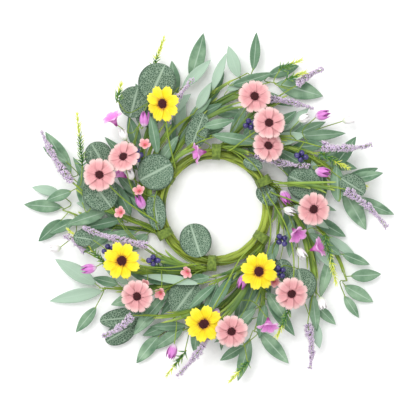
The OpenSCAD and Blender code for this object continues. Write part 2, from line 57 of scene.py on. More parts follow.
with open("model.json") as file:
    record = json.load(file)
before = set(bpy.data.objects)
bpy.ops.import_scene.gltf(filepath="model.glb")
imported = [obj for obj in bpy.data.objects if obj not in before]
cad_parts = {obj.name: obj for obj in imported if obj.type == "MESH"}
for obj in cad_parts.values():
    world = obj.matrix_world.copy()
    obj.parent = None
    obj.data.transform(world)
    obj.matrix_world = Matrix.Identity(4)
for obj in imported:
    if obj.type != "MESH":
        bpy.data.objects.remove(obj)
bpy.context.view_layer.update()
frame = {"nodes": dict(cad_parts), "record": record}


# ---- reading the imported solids, in mm -----------------------------------------------------

SAME_POINT = 0.002       # points nearer than this are one
SAME_WAY = 0.99999       # normals that agree this well make one flat face
LEAST_FLAT = 4.0         # smallest flat face that is kept, mm2
LEAST_LEAF = 100.0       # a leaf's blade is larger than this, mm2, and its stalk's faces are smaller
LEAST_HEAD = 300.0       # a daisy head is larger than this, mm2
FOOT_REACH = 4.0         # a leaf's corners crowd this near its foot, where the stalk starts
END_BAND = 1.5           # how far the points of a rod's end lie along its axis


@dataclass
class Flat:
    """A flat face of a solid: its corner points, middle, outward normal and area."""

    points: np.ndarray
    middle: Vector
    normal: Vector
    area: float


@dataclass
class Solid:
    """One separate solid of a node."""

    points: np.ndarray
    flats: list[Flat]

    @property
    def middle(self) -> Vector:
        """Middle of the solid's box."""
        return Vector((self.points.min(axis=0) + self.points.max(axis=0)) / 2)

    def reach(self, foot: Vector) -> float:
        """How far the solid's farthest point is from a foot."""
        return float(np.linalg.norm(self.points - np.array(foot), axis=1).max())


@dataclass
class Seat:
    """Where a leaf, sprig or blossom sits: its foot, the ways it points and faces, and its size."""

    foot: Vector
    ahead: Vector
    up: Vector
    length: float
    width: float

    def matrix(self) -> Matrix:
        """Turns something made along +X and facing +Z into its place."""
        ahead = self.ahead.normalized()
        side = self.up.cross(ahead).normalized()
        turn = Matrix((ahead, side, ahead.cross(side))).transposed()
        return Matrix.Translation(self.foot) @ turn.to_4x4()


def connected(seeds: Iterable[Element],
              near: Callable[[Element, Element], Iterable[Element]]) -> list[list[Element]]:
    """Sorts mesh elements into connected groups.

    Args:
        seeds: the elements to sort.
        near: gives an element's neighbours in its group, from the group's first element and it.

    Returns:
        The groups, each a list of elements.
    """
    groups, seen = [], set()
    for seed in seeds:
        if seed in seen:
            continue
        seen.add(seed)
        group, waiting = [], [seed]
        while waiting:
            item = waiting.pop()
            group.append(item)
            for other in near(seed, item):
                if other not in seen:
                    seen.add(other)
                    waiting.append(other)
        groups.append(group)
    return groups


def read_solids(node: str) -> list[Solid]:
    """Reads the separate solids of a node, with their flat faces.

    Args:
        node: the node's name.

    Returns:
        The solids, in mm.
    """
    bm = bmesh.new()
    bm.from_mesh(frame["nodes"][node].data)
    bmesh.ops.scale(bm, vec=(1 / MM,) * 3, verts=bm.verts)
    bmesh.ops.remove_doubles(bm, verts=bm.verts, dist=SAME_POINT)
    bm.normal_update()
    solids = []

    def same_plane(first: bmesh.types.BMFace, face: bmesh.types.BMFace) -> list[bmesh.types.BMFace]:
        """Lists a face's neighbours that face the same way as the first."""
        return [g for e in face.edges for g in e.link_faces if g.normal.dot(first.normal) > SAME_WAY]

    for verts in connected(bm.verts, lambda first, v: [e.other_vert(v) for e in v.link_edges]):
        faces = {f for v in verts for f in v.link_faces}
        flats = []
        for group in connected(sorted(faces, key=lambda f: f.index), same_plane):
            area = sum(f.calc_area() for f in group)
            if area > LEAST_FLAT:
                middle = sum((f.calc_center_median() * f.calc_area() for f in group), Vector()) / area
                corners = np.unique(np.array([v.co[:] for f in group for v in f.verts]).round(3), axis=0)
                flats.append(Flat(corners, middle, group[0].normal.copy(), area))
        solids.append(Solid(np.array([v.co[:] for v in verts]), flats))
    bm.free()
    return solids


def read_lines(node: str, least_rings: int = 4, reach: float = 2.4) -> list[list[Vector]]:
    """Reads the middle line of each tube in a node.

    Args:
        node: the node's name.
        least_rings: tubes with fewer rings of points are passed over.
        reach: points this near each other, in mm, belong to one ring.

    Returns:
        For each tube its ring middles, from the one nearest the wreath's centre outwards.
    """
    lines = []
    for solid in read_solids(node):
        points, rings = solid.points, []
        while len(points):
            near = np.linalg.norm(points - points[0], axis=1) < reach
            rings.append(Vector(points[near].mean(axis=0)))
            points = points[~near]
        if len(rings) < least_rings:
            continue
        line = [min(rings, key=lambda p: p.xy.length)]
        rings.remove(line[0])
        while rings:
            line.append(min(rings, key=lambda p: (p - line[-1]).length))
            rings.remove(line[-1])
        lines.append(line)
    return lines


def leaf_seats(node: str, stem_ends: list[Vector] | None = None) -> list[Seat]:
    """Finds each leaf blade of a node from its flat top face.

    Args:
        node: the node's name.
        stem_ends: where stems end at round leaves; a pointed leaf shows its foot by itself.

    Returns:
        A seat for each leaf.
    """
    seats = []
    for solid in read_solids(node):
        for flat in solid.flats:
            if flat.normal.z < 0.5 or flat.area < LEAST_LEAF:
                continue
            points = flat.points
            if stem_ends:
                near = [min(stem_ends, key=lambda e: (Vector(p) - e).length) for p in points]
                gaps = [(Vector(p) - e).length for p, e in zip(points, near)]
                foot = Vector(points[int(np.argmin(gaps))])
                ahead = (flat.middle - foot).normalized()
            else:
                apart = np.linalg.norm(points[:, None] - points[None, :], axis=2)
                one, two = np.unravel_index(apart.argmax(), apart.shape)
                crowd = {k: int((apart[k] < FOOT_REACH).sum()) for k in (one, two)}
                foot_at, tip_at = (one, two) if crowd[one] >= crowd[two] else (two, one)
                foot = Vector(points[apart[foot_at] < FOOT_REACH].mean(axis=0))
                ahead = (Vector(points[tip_at]) - foot).normalized()
            side = flat.normal.cross(ahead).normalized()
            across = (points - np.array(foot)) @ np.array(side)
            along = (points - np.array(foot)) @ np.array(ahead)
            middle = foot - flat.normal * LEAF_T / 2
            seats.append(Seat(middle, ahead, flat.normal, along.max(), np.ptp(across)))
    return seats


def sprig_seats(node: str) -> list[Seat]:
    """Finds each tapered rod of a node: foot at its thick end."""
    seats = []
    for solid in read_solids(node):
        middle = solid.points.mean(axis=0)
        axis = np.linalg.svd(solid.points - middle)[2][0]
        along = (solid.points - middle) @ axis
        ends = [solid.points[along < along.min() + END_BAND], solid.points[along > along.max() - END_BAND]]
        spread = [np.linalg.norm(end - end.mean(axis=0), axis=1).mean() for end in ends]
        foot, tip = ends if spread[0] > spread[1] else ends[::-1]
        foot, tip = Vector(foot.mean(axis=0)), Vector(tip.mean(axis=0))
        ahead = (tip - foot).normalized()
        up = (UP - ahead * ahead.z).normalized()
        seats.append(Seat(foot, ahead, up, (tip - foot).length, 2 * max(spread)))
    return seats


def mouth_seats(node: str) -> list[Seat]:
    """Finds each cup or bell of a node: foot at its narrow end, pointing out of its mouth."""
    seats = []
    for solid in read_solids(node):
        mouth = max(solid.flats, key=lambda f: f.area)
        depth = solid.points @ np.array(mouth.normal)
        foot = Vector(solid.points[depth < depth.min() + 0.3].mean(axis=0))
        ahead = mouth.normal.normalized()
        rise = solid.points - np.array(foot)
        off_axis = np.linalg.norm(rise - np.outer(rise @ np.array(ahead), np.array(ahead)), axis=1)
        side = ahead.orthogonal().normalized()
        seats.append(Seat(foot, ahead, side, depth.max() - depth.min(), 2 * off_axis.max()))
    return seats


def head_seats(node: str) -> list[Seat]:
    """Finds each daisy head of a node: foot in the middle of its underside, facing out of its eye."""
    seats = []
    for solid in read_solids(node):
        for flat in solid.flats:
            if flat.normal.z < 0.3 or flat.area < LEAST_HEAD:
                continue
            low = (flat.normal * flat.normal.z - UP).normalized()
            radius = float(np.linalg.norm(flat.points - np.array(flat.middle), axis=1).max())
            foot = flat.middle - flat.normal * PETAL_T
            seats.append(Seat(foot, low, flat.normal, PETAL_T, 2 * radius))
    return seats


# ---- finishes -----------------------------------------------------------------------------

def linear(code: str) -> tuple[float, float, float, float]:
    """Turns an sRGB hex colour into linear RGBA."""
    parts = [int(code[i:i + 2], 16) / 255 for i in (1, 3, 5)]
    return (*(p / 12.92 if p <= 0.04045 else ((p + 0.055) / 1.055) ** 2.4 for p in parts), 1.0)


def add_node(tree: bpy.types.NodeTree, kind: str, inputs: dict | None = None,
             out: int | str = 0, **settings: object) -> Socket:
    """Adds a node with its settings and links.

    Args:
        tree: the material's node tree.
        kind: the node's type.
        inputs: a value or an output socket for each input, by name or place. A Map Range node's places
            are its value, the two ends it comes from and the two ends it goes to.
        out: the output to return, by name or place.
        **settings: the node's own settings.

    Returns:
        The chosen output socket.
    """
    node = tree.nodes.new(kind)
    for key, value in settings.items():
        setattr(node, key, value)
    for key, value in (inputs or {}).items():
        if isinstance(value, Socket):
            tree.links.new(value, node.inputs[key])
        else:
            node.inputs[key].default_value = value
    return node.outputs[out] if len(node.outputs) else None


@dataclass(frozen=True)
class Finish:
    """A material: its name, its surface settings and a method that works out its colour and relief."""

    name: str
    roughness: float = 0.6
    sheen: float = 0.0
    coat: float = 0.0
    metallic: float = 0.0
    relief: float = 0.3

    def paint(self, tree: bpy.types.NodeTree) -> Pattern:
        """Adds the nodes of the pattern and returns its colour and its height."""
        raise NotImplementedError

    def material(self) -> bpy.types.Material:
        """Returns the material, made once."""
        if self.name in bpy.data.materials:
            return bpy.data.materials[self.name]
        made = bpy.data.materials.new(self.name)
        made.use_nodes = True
        tree = made.node_tree
        tree.nodes.clear()
        colour, height = self.paint(tree)
        bump = add_node(tree, "ShaderNodeBump", {
            "Strength": self.relief, "Distance": 0.6 * MM, "Height": height,
        })
        shader = add_node(tree, "ShaderNodeBsdfPrincipled", {
            "Base Color": colour, "Normal": bump, "Roughness": self.roughness,
            "Metallic": self.metallic, "Sheen Weight": self.sheen, "Sheen Roughness": 0.5,
            "Coat Weight": self.coat, "Coat Roughness": 0.15,
        })
        add_node(tree, "ShaderNodeOutputMaterial", {"Surface": shader})
        return made


@dataclass(frozen=True)
class LeafCloth(Finish):
    """Polyester cloth, woven, printed and pressed: a matt face with a paler underside and light veins."""

    face: str = "#6f9b6b"
    shade: str = "#527f55"
    back: str = "#a9c8b4"
    vein: str = "#a9c6a0"
    rim: str = "#43694a"
    net_mm: float = 0.0      # spacing of a printed net of veins, or 0 for plain side veins
    side_veins: float = 0.3  # strength of plain side veins
    mottle_mm: float = 16.0  # size of the clouds of tone in the print
    weave_mm: float = 0.9    # the real thread is 0.3 mm apart; drawn coarser, so that it shows

    def paint(self, tree: bpy.types.NodeTree) -> Pattern:
        """Adds mottled cloth with a midrib, veins, a darker rim and a pale underside."""
        place = add_node(tree, "ShaderNodeTexCoord", out="Object")
        blade = add_node(tree, "ShaderNodeAttribute", out="Vector", attribute_name="blade")
        turned = add_node(tree, "ShaderNodeAttribute", out="Fac", attribute_name="turned")
        along = add_node(tree, "ShaderNodeSeparateXYZ", {0: blade}, out="X")
        split = along.node.outputs
        across = add_node(tree, "ShaderNodeMath", {0: split["Y"]}, operation="ABSOLUTE")
        cloud = add_node(tree, "ShaderNodeTexNoise", {
            "Vector": place, "Scale": 1 / (self.mottle_mm * MM), "Detail": 3.0,
        })
        cloud_part = add_node(tree, "ShaderNodeMapRange", {0: cloud, 1: 0.35, 2: 0.68})
        colour = add_node(tree, "ShaderNodeMixRGB", {
            "Fac": cloud_part, "Color1": linear(self.face), "Color2": linear(self.shade),
        })
        tone = add_node(tree, "ShaderNodeMapRange", {0: split["Z"], 1: 0.0, 2: 1.0, 3: 0.0, 4: 0.8})
        colour = add_node(tree, "ShaderNodeMixRGB", {
            "Fac": tone, "Color1": colour, "Color2": linear(self.shade),
        })
        rib = add_node(tree, "ShaderNodeMapRange", {0: across, 1: 0.02, 2: 0.12, 3: 1.0, 4: 0.0},
                       interpolation_type="SMOOTHSTEP")
        if self.net_mm:
            net = add_node(tree, "ShaderNodeTexVoronoi", {
                "Vector": place, "Scale": 1 / (self.net_mm * MM),
            }, feature="DISTANCE_TO_EDGE")
            veins = add_node(tree, "ShaderNodeMapRange", {0: net, 1: 0.03, 2: 0.11, 3: 0.8, 4: 0.0},
                             interpolation_type="SMOOTHSTEP")
        else:
            slant = add_node(tree, "ShaderNodeMath", {0: across, 1: -4.0}, operation="MULTIPLY")
            ramp = add_node(tree, "ShaderNodeMath", {0: along, 1: 60.0, 2: slant},
                            operation="MULTIPLY_ADD")
            wave = add_node(tree, "ShaderNodeMath", {0: ramp}, operation="SINE")
            veins = add_node(tree, "ShaderNodeMapRange", {
                0: wave, 1: 0.55, 2: 1.0, 3: 0.0, 4: self.side_veins,
            }, interpolation_type="SMOOTHSTEP")
        lines = add_node(tree, "ShaderNodeMath", {0: rib, 1: veins}, operation="MAXIMUM")
        line_part = add_node(tree, "ShaderNodeMath", {0: lines, 1: 0.75}, operation="MULTIPLY")
        colour = add_node(tree, "ShaderNodeMixRGB", {
            "Fac": line_part, "Color1": colour, "Color2": linear(self.vein),
        })
        edge = add_node(tree, "ShaderNodeMapRange", {0: across, 1: 0.84, 2: 0.98, 3: 0.0, 4: 0.6},
                        interpolation_type="SMOOTHSTEP")
        colour = add_node(tree, "ShaderNodeMixRGB", {
            "Fac": edge, "Color1": colour, "Color2": linear(self.rim),
        })
        pale = add_node(tree, "ShaderNodeMath", {0: turned, 1: 0.85}, operation="MULTIPLY")
        colour = add_node(tree, "ShaderNodeMixRGB", {
            "Fac": pale, "Color1": colour, "Color2": linear(self.back),
        })
        weave = add_node(tree, "ShaderNodeTexNoise", {
            "Vector": place, "Scale": 1 / (self.weave_mm * MM), "Detail": 1.0,
        })
        height = add_node(tree, "ShaderNodeMath", {0: lines, 1: 0.9, 2: weave}, operation="MULTIPLY_ADD")
        return colour, height


@dataclass(frozen=True)
class PetalCloth(Finish):
    """Polyester cloth, dyed and heat-pressed: soft ribs along the petal and a stained throat."""

    body: str = "#ffe600"
    throat: str = "#c86a08"
    tip: str = "#fff04a"
    streak: str = "#f2c400"
    throat_end: float = 0.42   # share of the petal's length that the stain reaches
    ribs: float = 9.0          # pressed ribs across a petal

    def paint(self, tree: bpy.types.NodeTree) -> Pattern:
        """Adds a throat, a body and a tip colour along the petal, with streaks and ribs."""
        blade = add_node(tree, "ShaderNodeAttribute", out="Vector", attribute_name="blade")
        along = add_node(tree, "ShaderNodeSeparateXYZ", {0: blade}, out="X")
        across = along.node.outputs["Y"]
        stretched = add_node(tree, "ShaderNodeVectorMath", {0: blade, 1: (1.6, 7.0, 23.0)},
                             operation="MULTIPLY")
        cloud = add_node(tree, "ShaderNodeTexNoise", {"Vector": stretched, "Scale": 1.0, "Detail": 3.0})
        streaks = add_node(tree, "ShaderNodeMapRange", {0: cloud, 1: 0.42, 2: 0.72, 3: 0.0, 4: 0.7})
        colour = add_node(tree, "ShaderNodeMixRGB", {
            "Fac": streaks, "Color1": linear(self.body), "Color2": linear(self.streak),
        })
        out_part = add_node(tree, "ShaderNodeMapRange", {0: along, 1: 0.6, 2: 1.0, 3: 0.0, 4: 0.8},
                            interpolation_type="SMOOTHSTEP")
        colour = add_node(tree, "ShaderNodeMixRGB", {
            "Fac": out_part, "Color1": colour, "Color2": linear(self.tip),
        })
        jagged = add_node(tree, "ShaderNodeMath", {0: cloud, 1: -0.35, 2: along},
                          operation="MULTIPLY_ADD")
        low = self.throat_end * 0.35
        stain = add_node(tree, "ShaderNodeMapRange", {
            0: jagged, 1: low - 0.17, 2: self.throat_end - 0.17, 3: 1.0, 4: 0.0,
        }, interpolation_type="SMOOTHSTEP")
        colour = add_node(tree, "ShaderNodeMixRGB", {
            "Fac": stain, "Color1": colour, "Color2": linear(self.throat),
        })
        turns = add_node(tree, "ShaderNodeMath", {0: across, 1: math.pi * self.ribs},
                         operation="MULTIPLY")
        height = add_node(tree, "ShaderNodeMath", {0: turns}, operation="COSINE")
        return colour, height


@dataclass(frozen=True)
class Moulded(Finish):
    """Soft polyethylene, injection-moulded: waxy and matt, with lengthwise streaks and paler tips."""

    body: str = "#8aa52f"
    dark: str = "#5c7a22"
    tip: str = "#8aa52f"
    tip_start: float = 0.6     # share of the length where the tip colour starts
    streak_scale: float = 2.2
    mottle_mm: float = 22.0    # size of the clouds of tone in the plastic

    def paint(self, tree: bpy.types.NodeTree) -> Pattern:
        """Adds lengthwise streaks, a change of tone from stem to stem and a tip colour."""
        blade = add_node(tree, "ShaderNodeAttribute", out="Vector", attribute_name="blade")
        along = add_node(tree, "ShaderNodeSeparateXYZ", {0: blade}, out="X")
        tone = along.node.outputs["Z"]
        run = add_node(tree, "ShaderNodeAttribute", out="Vector", attribute_name="run")
        grain = add_node(tree, "ShaderNodeTexNoise", {
            "Vector": run, "Scale": self.streak_scale, "Detail": 2.0,
        })
        place = add_node(tree, "ShaderNodeTexCoord", out="Object")
        cloud = add_node(tree, "ShaderNodeTexNoise", {
            "Vector": place, "Scale": 1 / (self.mottle_mm * MM), "Detail": 2.0,
        })
        both = add_node(tree, "ShaderNodeMath", {0: grain, 1: cloud}, operation="ADD")
        part = add_node(tree, "ShaderNodeMath", {0: tone, 1: 0.7, 2: both}, operation="MULTIPLY_ADD")
        mask = add_node(tree, "ShaderNodeMapRange", {0: part, 1: 0.95, 2: 1.75})
        colour = add_node(tree, "ShaderNodeMixRGB", {
            "Fac": mask, "Color1": linear(self.body), "Color2": linear(self.dark),
        })
        reach = add_node(tree, "ShaderNodeMapRange", {0: along, 1: self.tip_start, 2: 1.0},
                         interpolation_type="SMOOTHSTEP")
        colour = add_node(tree, "ShaderNodeMixRGB", {
            "Fac": reach, "Color1": colour, "Color2": linear(self.tip),
        })
        return colour, grain


@dataclass(frozen=True)
class Grained(Finish):
    """A dyed or lacquered surface with a fine grain: flock, crepe paper, lacquer or painted wire."""

    body: str = "#4a0a14"
    dark: str = "#2a0509"
    grain_mm: float = 1.2

    def paint(self, tree: bpy.types.NodeTree) -> Pattern:
        """Adds two tones mixed by a grain of the finish's own size."""
        place = add_node(tree, "ShaderNodeTexCoord", out="Object")
        grain = add_node(tree, "ShaderNodeTexNoise", {
            "Vector": place, "Scale": 1 / (self.grain_mm * MM), "Detail": 4.0,
        })
        mask = add_node(tree, "ShaderNodeMapRange", {0: grain, 1: 0.35, 2: 0.65})
        colour = add_node(tree, "ShaderNodeMixRGB", {
            "Fac": mask, "Color1": linear(self.body), "Color2": linear(self.dark),
        })
        return colour, grain


WILLOW_CLOTH = LeafCloth(
    "willow_leaf_printed_polyester", roughness=0.72, sheen=0.12, relief=0.3, face="#98b697",
    shade="#4c7254", back="#a6bfab", vein="#a8bfaa", rim="#68906f", side_veins=0.08,
)
DOLLAR_CLOTH = LeafCloth(
    "dollar_leaf_printed_polyester", roughness=0.7, sheen=0.1, relief=0.4, face="#537159",
    shade="#3d5a43", back="#8fae95", vein="#a9bfa8", rim="#26402e", net_mm=2.5,
)
YELLOW_CLOTH = PetalCloth("yellow_daisy_pressed_polyester", roughness=0.62, sheen=0.15, relief=0.5)
PINK_CLOTH = PetalCloth(
    "pink_daisy_pressed_polyester", roughness=0.65, sheen=0.15, relief=0.5, body="#e9a8aa",
    throat="#a83450", tip="#f6dad4", streak="#d98a92", throat_end=0.34,
)
FREESIA_CLOTH = PetalCloth(
    "freesia_pressed_polyester", roughness=0.6, sheen=0.15, relief=0.4, body="#e58bd8", throat="#9c2f86",
    tip="#f6c6ee", streak="#d262c0", throat_end=0.4, ribs=5.0,
)
PINK_TULIP_CLOTH = PetalCloth(
    "pink_tulip_pressed_polyester", roughness=0.6, sheen=0.15, relief=0.3, body="#cf78c8",
    throat="#ecd3ea", tip="#c25fbb", streak="#e3a3de", throat_end=0.4, ribs=5.0,
)
WHITE_TULIP_CLOTH = PetalCloth(
    "white_tulip_pressed_polyester", roughness=0.6, sheen=0.15, relief=0.3, body="#f4f1f0",
    throat="#dfe8cf", tip="#fbf6f8", streak="#eae6ea", throat_end=0.4, ribs=5.0,
)
CORAL_CLOTH = PetalCloth(
    "coral_blossom_pressed_polyester", roughness=0.62, sheen=0.15, relief=0.4, body="#f0a3a6",
    throat="#d9566c", tip="#f8c9c8", streak="#e58790", throat_end=0.5, ribs=5.0,
)
STEM_PLASTIC = Moulded("stem_moulded_polyethylene", roughness=0.5, relief=0.25)
GRASS_PLASTIC = Moulded(
    "grass_pressed_polyethylene", roughness=0.55, relief=0.3, body="#86a63e", dark="#31591f", tip="#a9bd52",
    tip_start=0.75,
)
VINE_PLASTIC = Moulded(
    "vine_moulded_polyethylene", roughness=0.55, relief=0.5, body="#9db03a", dark="#3f5814",
    tip="#9db03a", streak_scale=3.0,
)
LILAC_PLASTIC = Moulded(
    "lilac_floret_moulded_polyethylene", roughness=0.6, relief=0.2, body="#a070bc", dark="#6f4594",
    tip="#f4e8f3", tip_start=0.0,
)
NEEDLE_PLASTIC = Moulded(
    "rosemary_needle_moulded_polyethylene", roughness=0.5, relief=0.2, body="#3f7f3c", dark="#2f6533",
    tip="#9fc244", tip_start=0.4,
)
BUD_PLASTIC = Moulded(
    "rosemary_bud_moulded_polyethylene", roughness=0.5, relief=0.2, body="#dfe84a", dark="#b9d13c",
    tip="#f6f79a", tip_start=0.3,
)
EYE_FLOCK = Grained("eye_flocked_nylon", roughness=0.95, sheen=0.1, relief=0.9, body="#4f0c18",
                    dark="#2c0509")
STAMEN_FLOCK = Grained("stamen_flocked_nylon", roughness=0.9, sheen=0.1, relief=0.6, body="#7a2030",
                       dark="#4a0a14")
CREPE_TAPE = Grained("tape_waxed_crepe_paper", roughness=0.8, sheen=0.1, relief=0.8, body="#768c34",
                     dark="#4b621f", grain_mm=3.4)
BERRY_LACQUER = Grained("berry_lacquered_foam", roughness=0.28, coat=0.5, relief=0.15, body="#463c86",
                        dark="#241d52", grain_mm=3.0)
WIRE_PAINT = Grained("wire_painted_steel", roughness=0.45, metallic=0.6, relief=0.2, body="#5b6440",
                     dark="#3f4a2c", grain_mm=1.5)
FLOOR_PAPER = Grained("floor_matt_paper", roughness=0.9, relief=0.02, body="#fdfdfd", dark="#fafafa",
                      grain_mm=6.0)


# ---- making meshes, in mm -----------------------------------------------------------------

def blank() -> tuple[bmesh.types.BMesh, bmesh.types.BMLayerItem, bmesh.types.BMLayerItem]:
    """Starts a mesh with the three attributes that the finishes read.

    Returns:
        The mesh with its blade (share along, share across, tone) and run (round, round, along) layers;
        the third layer, turned, is 1 where a sheet shows its underside.
    """
    bm = bmesh.new()
    for name in ("blade", "run"):
        bm.verts.layers.float_vector.new(name)
    bm.verts.layers.float.new("turned")
    return bm, bm.verts.layers.float_vector["blade"], bm.verts.layers.float_vector["run"]


def as_mesh(bm: bmesh.types.BMesh, name: str) -> bpy.types.Mesh:
    """Writes a bmesh to a new mesh and frees it."""
    mesh = bpy.data.meshes.new(name)
    bm.to_mesh(mesh)
    bm.free()
    return mesh


def finished(bm: bmesh.types.BMesh, name: str) -> bpy.types.Mesh:
    """Closes doubles, turns the faces outwards and returns the mesh."""
    bmesh.ops.remove_doubles(bm, verts=bm.verts, dist=0.001)
    bmesh.ops.recalc_face_normals(bm, faces=bm.faces)
    return as_mesh(bm, name)


def pressed(along: int, across: int, shape: Callable[[float, float], Vector],
            tone: float = 0.5) -> bmesh.types.BMesh:
    """Presses a flat grid into a sheet.

    Args:
        along: faces along the sheet.
        across: faces across it.
        shape: gives a point in mm from its shares of the length (0 to 1) and half width (-1 to 1).
        tone: the sheet's own tone.

    Returns:
        The open sheet, with the points that meet at its ends merged.
    """
    bm, blade, _ = blank()
    bmesh.ops.create_grid(bm, x_segments=along, y_segments=across, size=0.5)
    for v in bm.verts:
        u, s = v.co.x + 0.5, 2 * v.co.y
        v[blade] = (u, s, tone)
        v.co = shape(u, s)
    bmesh.ops.remove_doubles(bm, verts=bm.verts, dist=0.01)
    return bm


def smooth_line(points: list[Vector], step: float = 6.0) -> list[Vector]:
    """Draws a round line through points.

    Args:
        points: the points to pass through, in mm.
        step: about how far apart the new points are, in mm.

    Returns:
        The points of the round line.
    """
    padded = [2 * points[0] - points[1], *points, 2 * points[-1] - points[-2]]
    line = []
    for a, b, c, d in zip(padded, padded[1:], padded[2:], padded[3:]):
        count = max(1, round((c - b).length / step))
        for i in range(count):
            t = i / count
            line.append(0.5 * (2 * b + (c - a) * t + (2 * a - 5 * b + 4 * c - d) * t * t
                               + (3 * b - a - 3 * c + d) * t ** 3))
    return [*line, points[-1].copy()]


def sweep(line: list[Vector], radius: Callable[[float], float], sides: int = 8, tone: float = 0.5,
          ring: bool = False) -> bpy.types.Mesh:
    """Draws a circle out along a line.

    Args:
        line: the middle line, in mm.
        radius: gives the radius in mm from the share of the length.
        sides: corners of the circle.
        tone: kept in the blade attribute, so that each rod has its own tone.
        ring: whether the line's end meets its start.

    Returns:
        The rod's mesh, with its blade (share along, 0, tone) and run (round, round, along) attributes.
    """
    bm, blade, run = blank()
    verts = bmesh.ops.create_circle(bm, cap_ends=not ring, segments=sides, radius=1.0)["verts"]
    edges = list(dict.fromkeys(e for v in verts for e in v.link_edges))
    last = len(line) - 1
    old, done, flow = Matrix(), 0.0, None
    for i, point in enumerate(line):
        if ring:
            ahead = (line[(i + 1) % (last + 1)] - line[i - 1]).normalized()
        else:
            ahead = (line[min(i + 1, last)] - line[max(i - 1, 0)]).normalized()
        flow = flow - ahead * flow.dot(ahead) if flow else UP - ahead * UP.dot(ahead)
        flow = flow.normalized() if flow.length > 1e-6 else ahead.orthogonal().normalized()
        side = flow.cross(ahead).normalized()
        size = radius(i / last)
        turn = Matrix((flow * size, side * size, ahead)).transposed()
        place = Matrix.Translation(point) @ turn.to_4x4()
        if i:
            made = bmesh.ops.extrude_edge_only(bm, edges=edges)["geom"]
            verts = [g for g in made if isinstance(g, bmesh.types.BMVert)]
            fresh = set(verts)
            edges = [g for g in made if isinstance(g, bmesh.types.BMEdge) and set(g.verts) <= fresh]
            done += (point - line[i - 1]).length
        bmesh.ops.transform(bm, matrix=place @ old.inverted(), verts=verts)
        old = place
        for v in verts:
            out = (v.co - point) / size
            v[blade] = (i / last, 0.0, tone)
            v[run] = (out.dot(flow), out.dot(side), done * 0.05 + tone * 9)
    if ring:
        bmesh.ops.bridge_loops(bm, edges=[e for e in bm.edges if e.is_boundary])
    else:
        bmesh.ops.contextual_create(bm, geom=edges)
    return finished(bm, "rod")


WIDEST = 0.72            # share of a daisy petal's length where it is widest


class Tip(Enum):
    """How a blade ends."""

    POINTED = "pointed"
    ROUND = "round"
    NOTCHED = "notched"
    TOOTHED = "toothed"


@dataclass
class Blade:
    """A pressed cloth blade, foot at the origin, along +X, facing +Z. Sizes in mm."""

    length: float
    width: float
    tip: Tip = Tip.POINTED
    foot: float = 0.0        # width at the foot, as a share
    fold: float = 0.1        # how high the edges stand, as a share of the half width
    arch: float = 0.03       # how high the middle stands, as a share of the length
    curl: float = 0.0        # how high the tip stands, as a share of the length
    ripple: float = 0.0      # height of the waves along the edge
    sway: float = 0.0        # sideways bend, as a share of the length
    phase: float = 0.0

    def half(self, u: float) -> float:
        """Half the width at a share of the length."""
        if self.tip is Tip.POINTED:
            return self.width / 2 * math.sin(math.pi * u ** 0.88) ** 0.86
        if self.tip is Tip.ROUND:
            return self.width / 2 * math.sqrt(max(0.0, 1 - (2 * u - 1) ** 2))
        widening = math.sin(math.pi / 2 * min(1.0, u / WIDEST)) ** 1.3
        return self.width / 2 * (self.foot + (1 - self.foot) * widening)

    def tip_cut(self, s: float) -> float:
        """How much shorter the blade is at a share of its half width, as a share of its length."""
        if self.tip is Tip.NOTCHED:
            return 0.08 * math.sin(1.5 * math.pi * s) ** 2 + 0.26 * abs(s) ** 3
        if self.tip is Tip.TOOTHED:
            return 0.09 * (0.5 - 0.5 * math.cos(5 * math.pi * s)) + 0.12 * s ** 4
        return 0.0

    def point(self, u: float, s: float) -> Vector:
        """Point of the blade at shares of its length and of its half width."""
        row = 0.5 * (1 - math.cos(math.pi * u)) if self.tip is Tip.ROUND else u
        half = self.half(row)
        x = self.length * row * (1 - self.tip_cut(s) * u ** 3)
        wave = self.ripple * s * s * math.sin(2 * math.pi * (1.7 * u + self.phase) + (1.2 if s > 0 else 0))
        bend = self.length * (self.arch * math.sin(math.pi * u) + self.curl * u * u)
        z = self.fold * half * s * s + bend + wave
        return Vector((x, half * s + self.sway * self.length * u * u, z))

    def mesh(self, along: int = 12, across: int = 6) -> bpy.types.Mesh:
        """Presses a flat grid into the blade.

        Args:
            along: faces along the blade.
            across: faces across it.

        Returns:
            The blade's mesh, an open sheet that the piece's Solidify gives its thickness.
        """
        return as_mesh(pressed(along, across, self.point), "blade")


def ribbon(line: list[Vector], start: float, length: float, width: float, drift: float, lift: float,
           tone: float) -> bpy.types.Mesh:
    """Presses a long grass blade that runs along a line and leaves it sideways.

    Args:
        line: the points to follow, in mm.
        start: where the blade starts, as a share of the line.
        length: its length.
        width: its width.
        drift: how far its tip stands beside the line.
        lift: how far it lies above the line.
        tone: its own tone.

    Returns:
        The blade's mesh, with its thickness.
    """
    marks = np.array([0.0, *np.cumsum([(b - a).length for a, b in zip(line, line[1:])])])
    length = min(length, marks[-1] * (1 - start))
    begin = marks[-1] * start
    points = np.array([p[:] for p in line])

    def on_line(share: float) -> Vector:
        """Point of the line at a share of the blade's length."""
        return Vector([float(np.interp(begin + length * share, marks, points[:, k])) for k in range(3)])

    def point(u: float, s: float) -> Vector:
        """Point of the blade, which widens from its foot and narrows to its tip."""
        here, soon = on_line(max(0.0, u - 0.04)), on_line(min(1.0, u + 0.04))
        side = UP.cross((soon - here).normalized()).normalized()
        half = width / 2 * (0.25 + 0.75 * math.sin(math.pi * min(1.0, 1.6 * u) / 2)) * (1 - u ** 5) ** 0.7
        return (here + soon) / 2 + side * (half * s + drift * u * u) + UP * (lift + 0.3 * half * s * s)

    bm = pressed(16, 2, point, tone)
    bmesh.ops.solidify(bm, geom=bm.faces, thickness=CLOTH_T)
    return finished(bm, "grass")


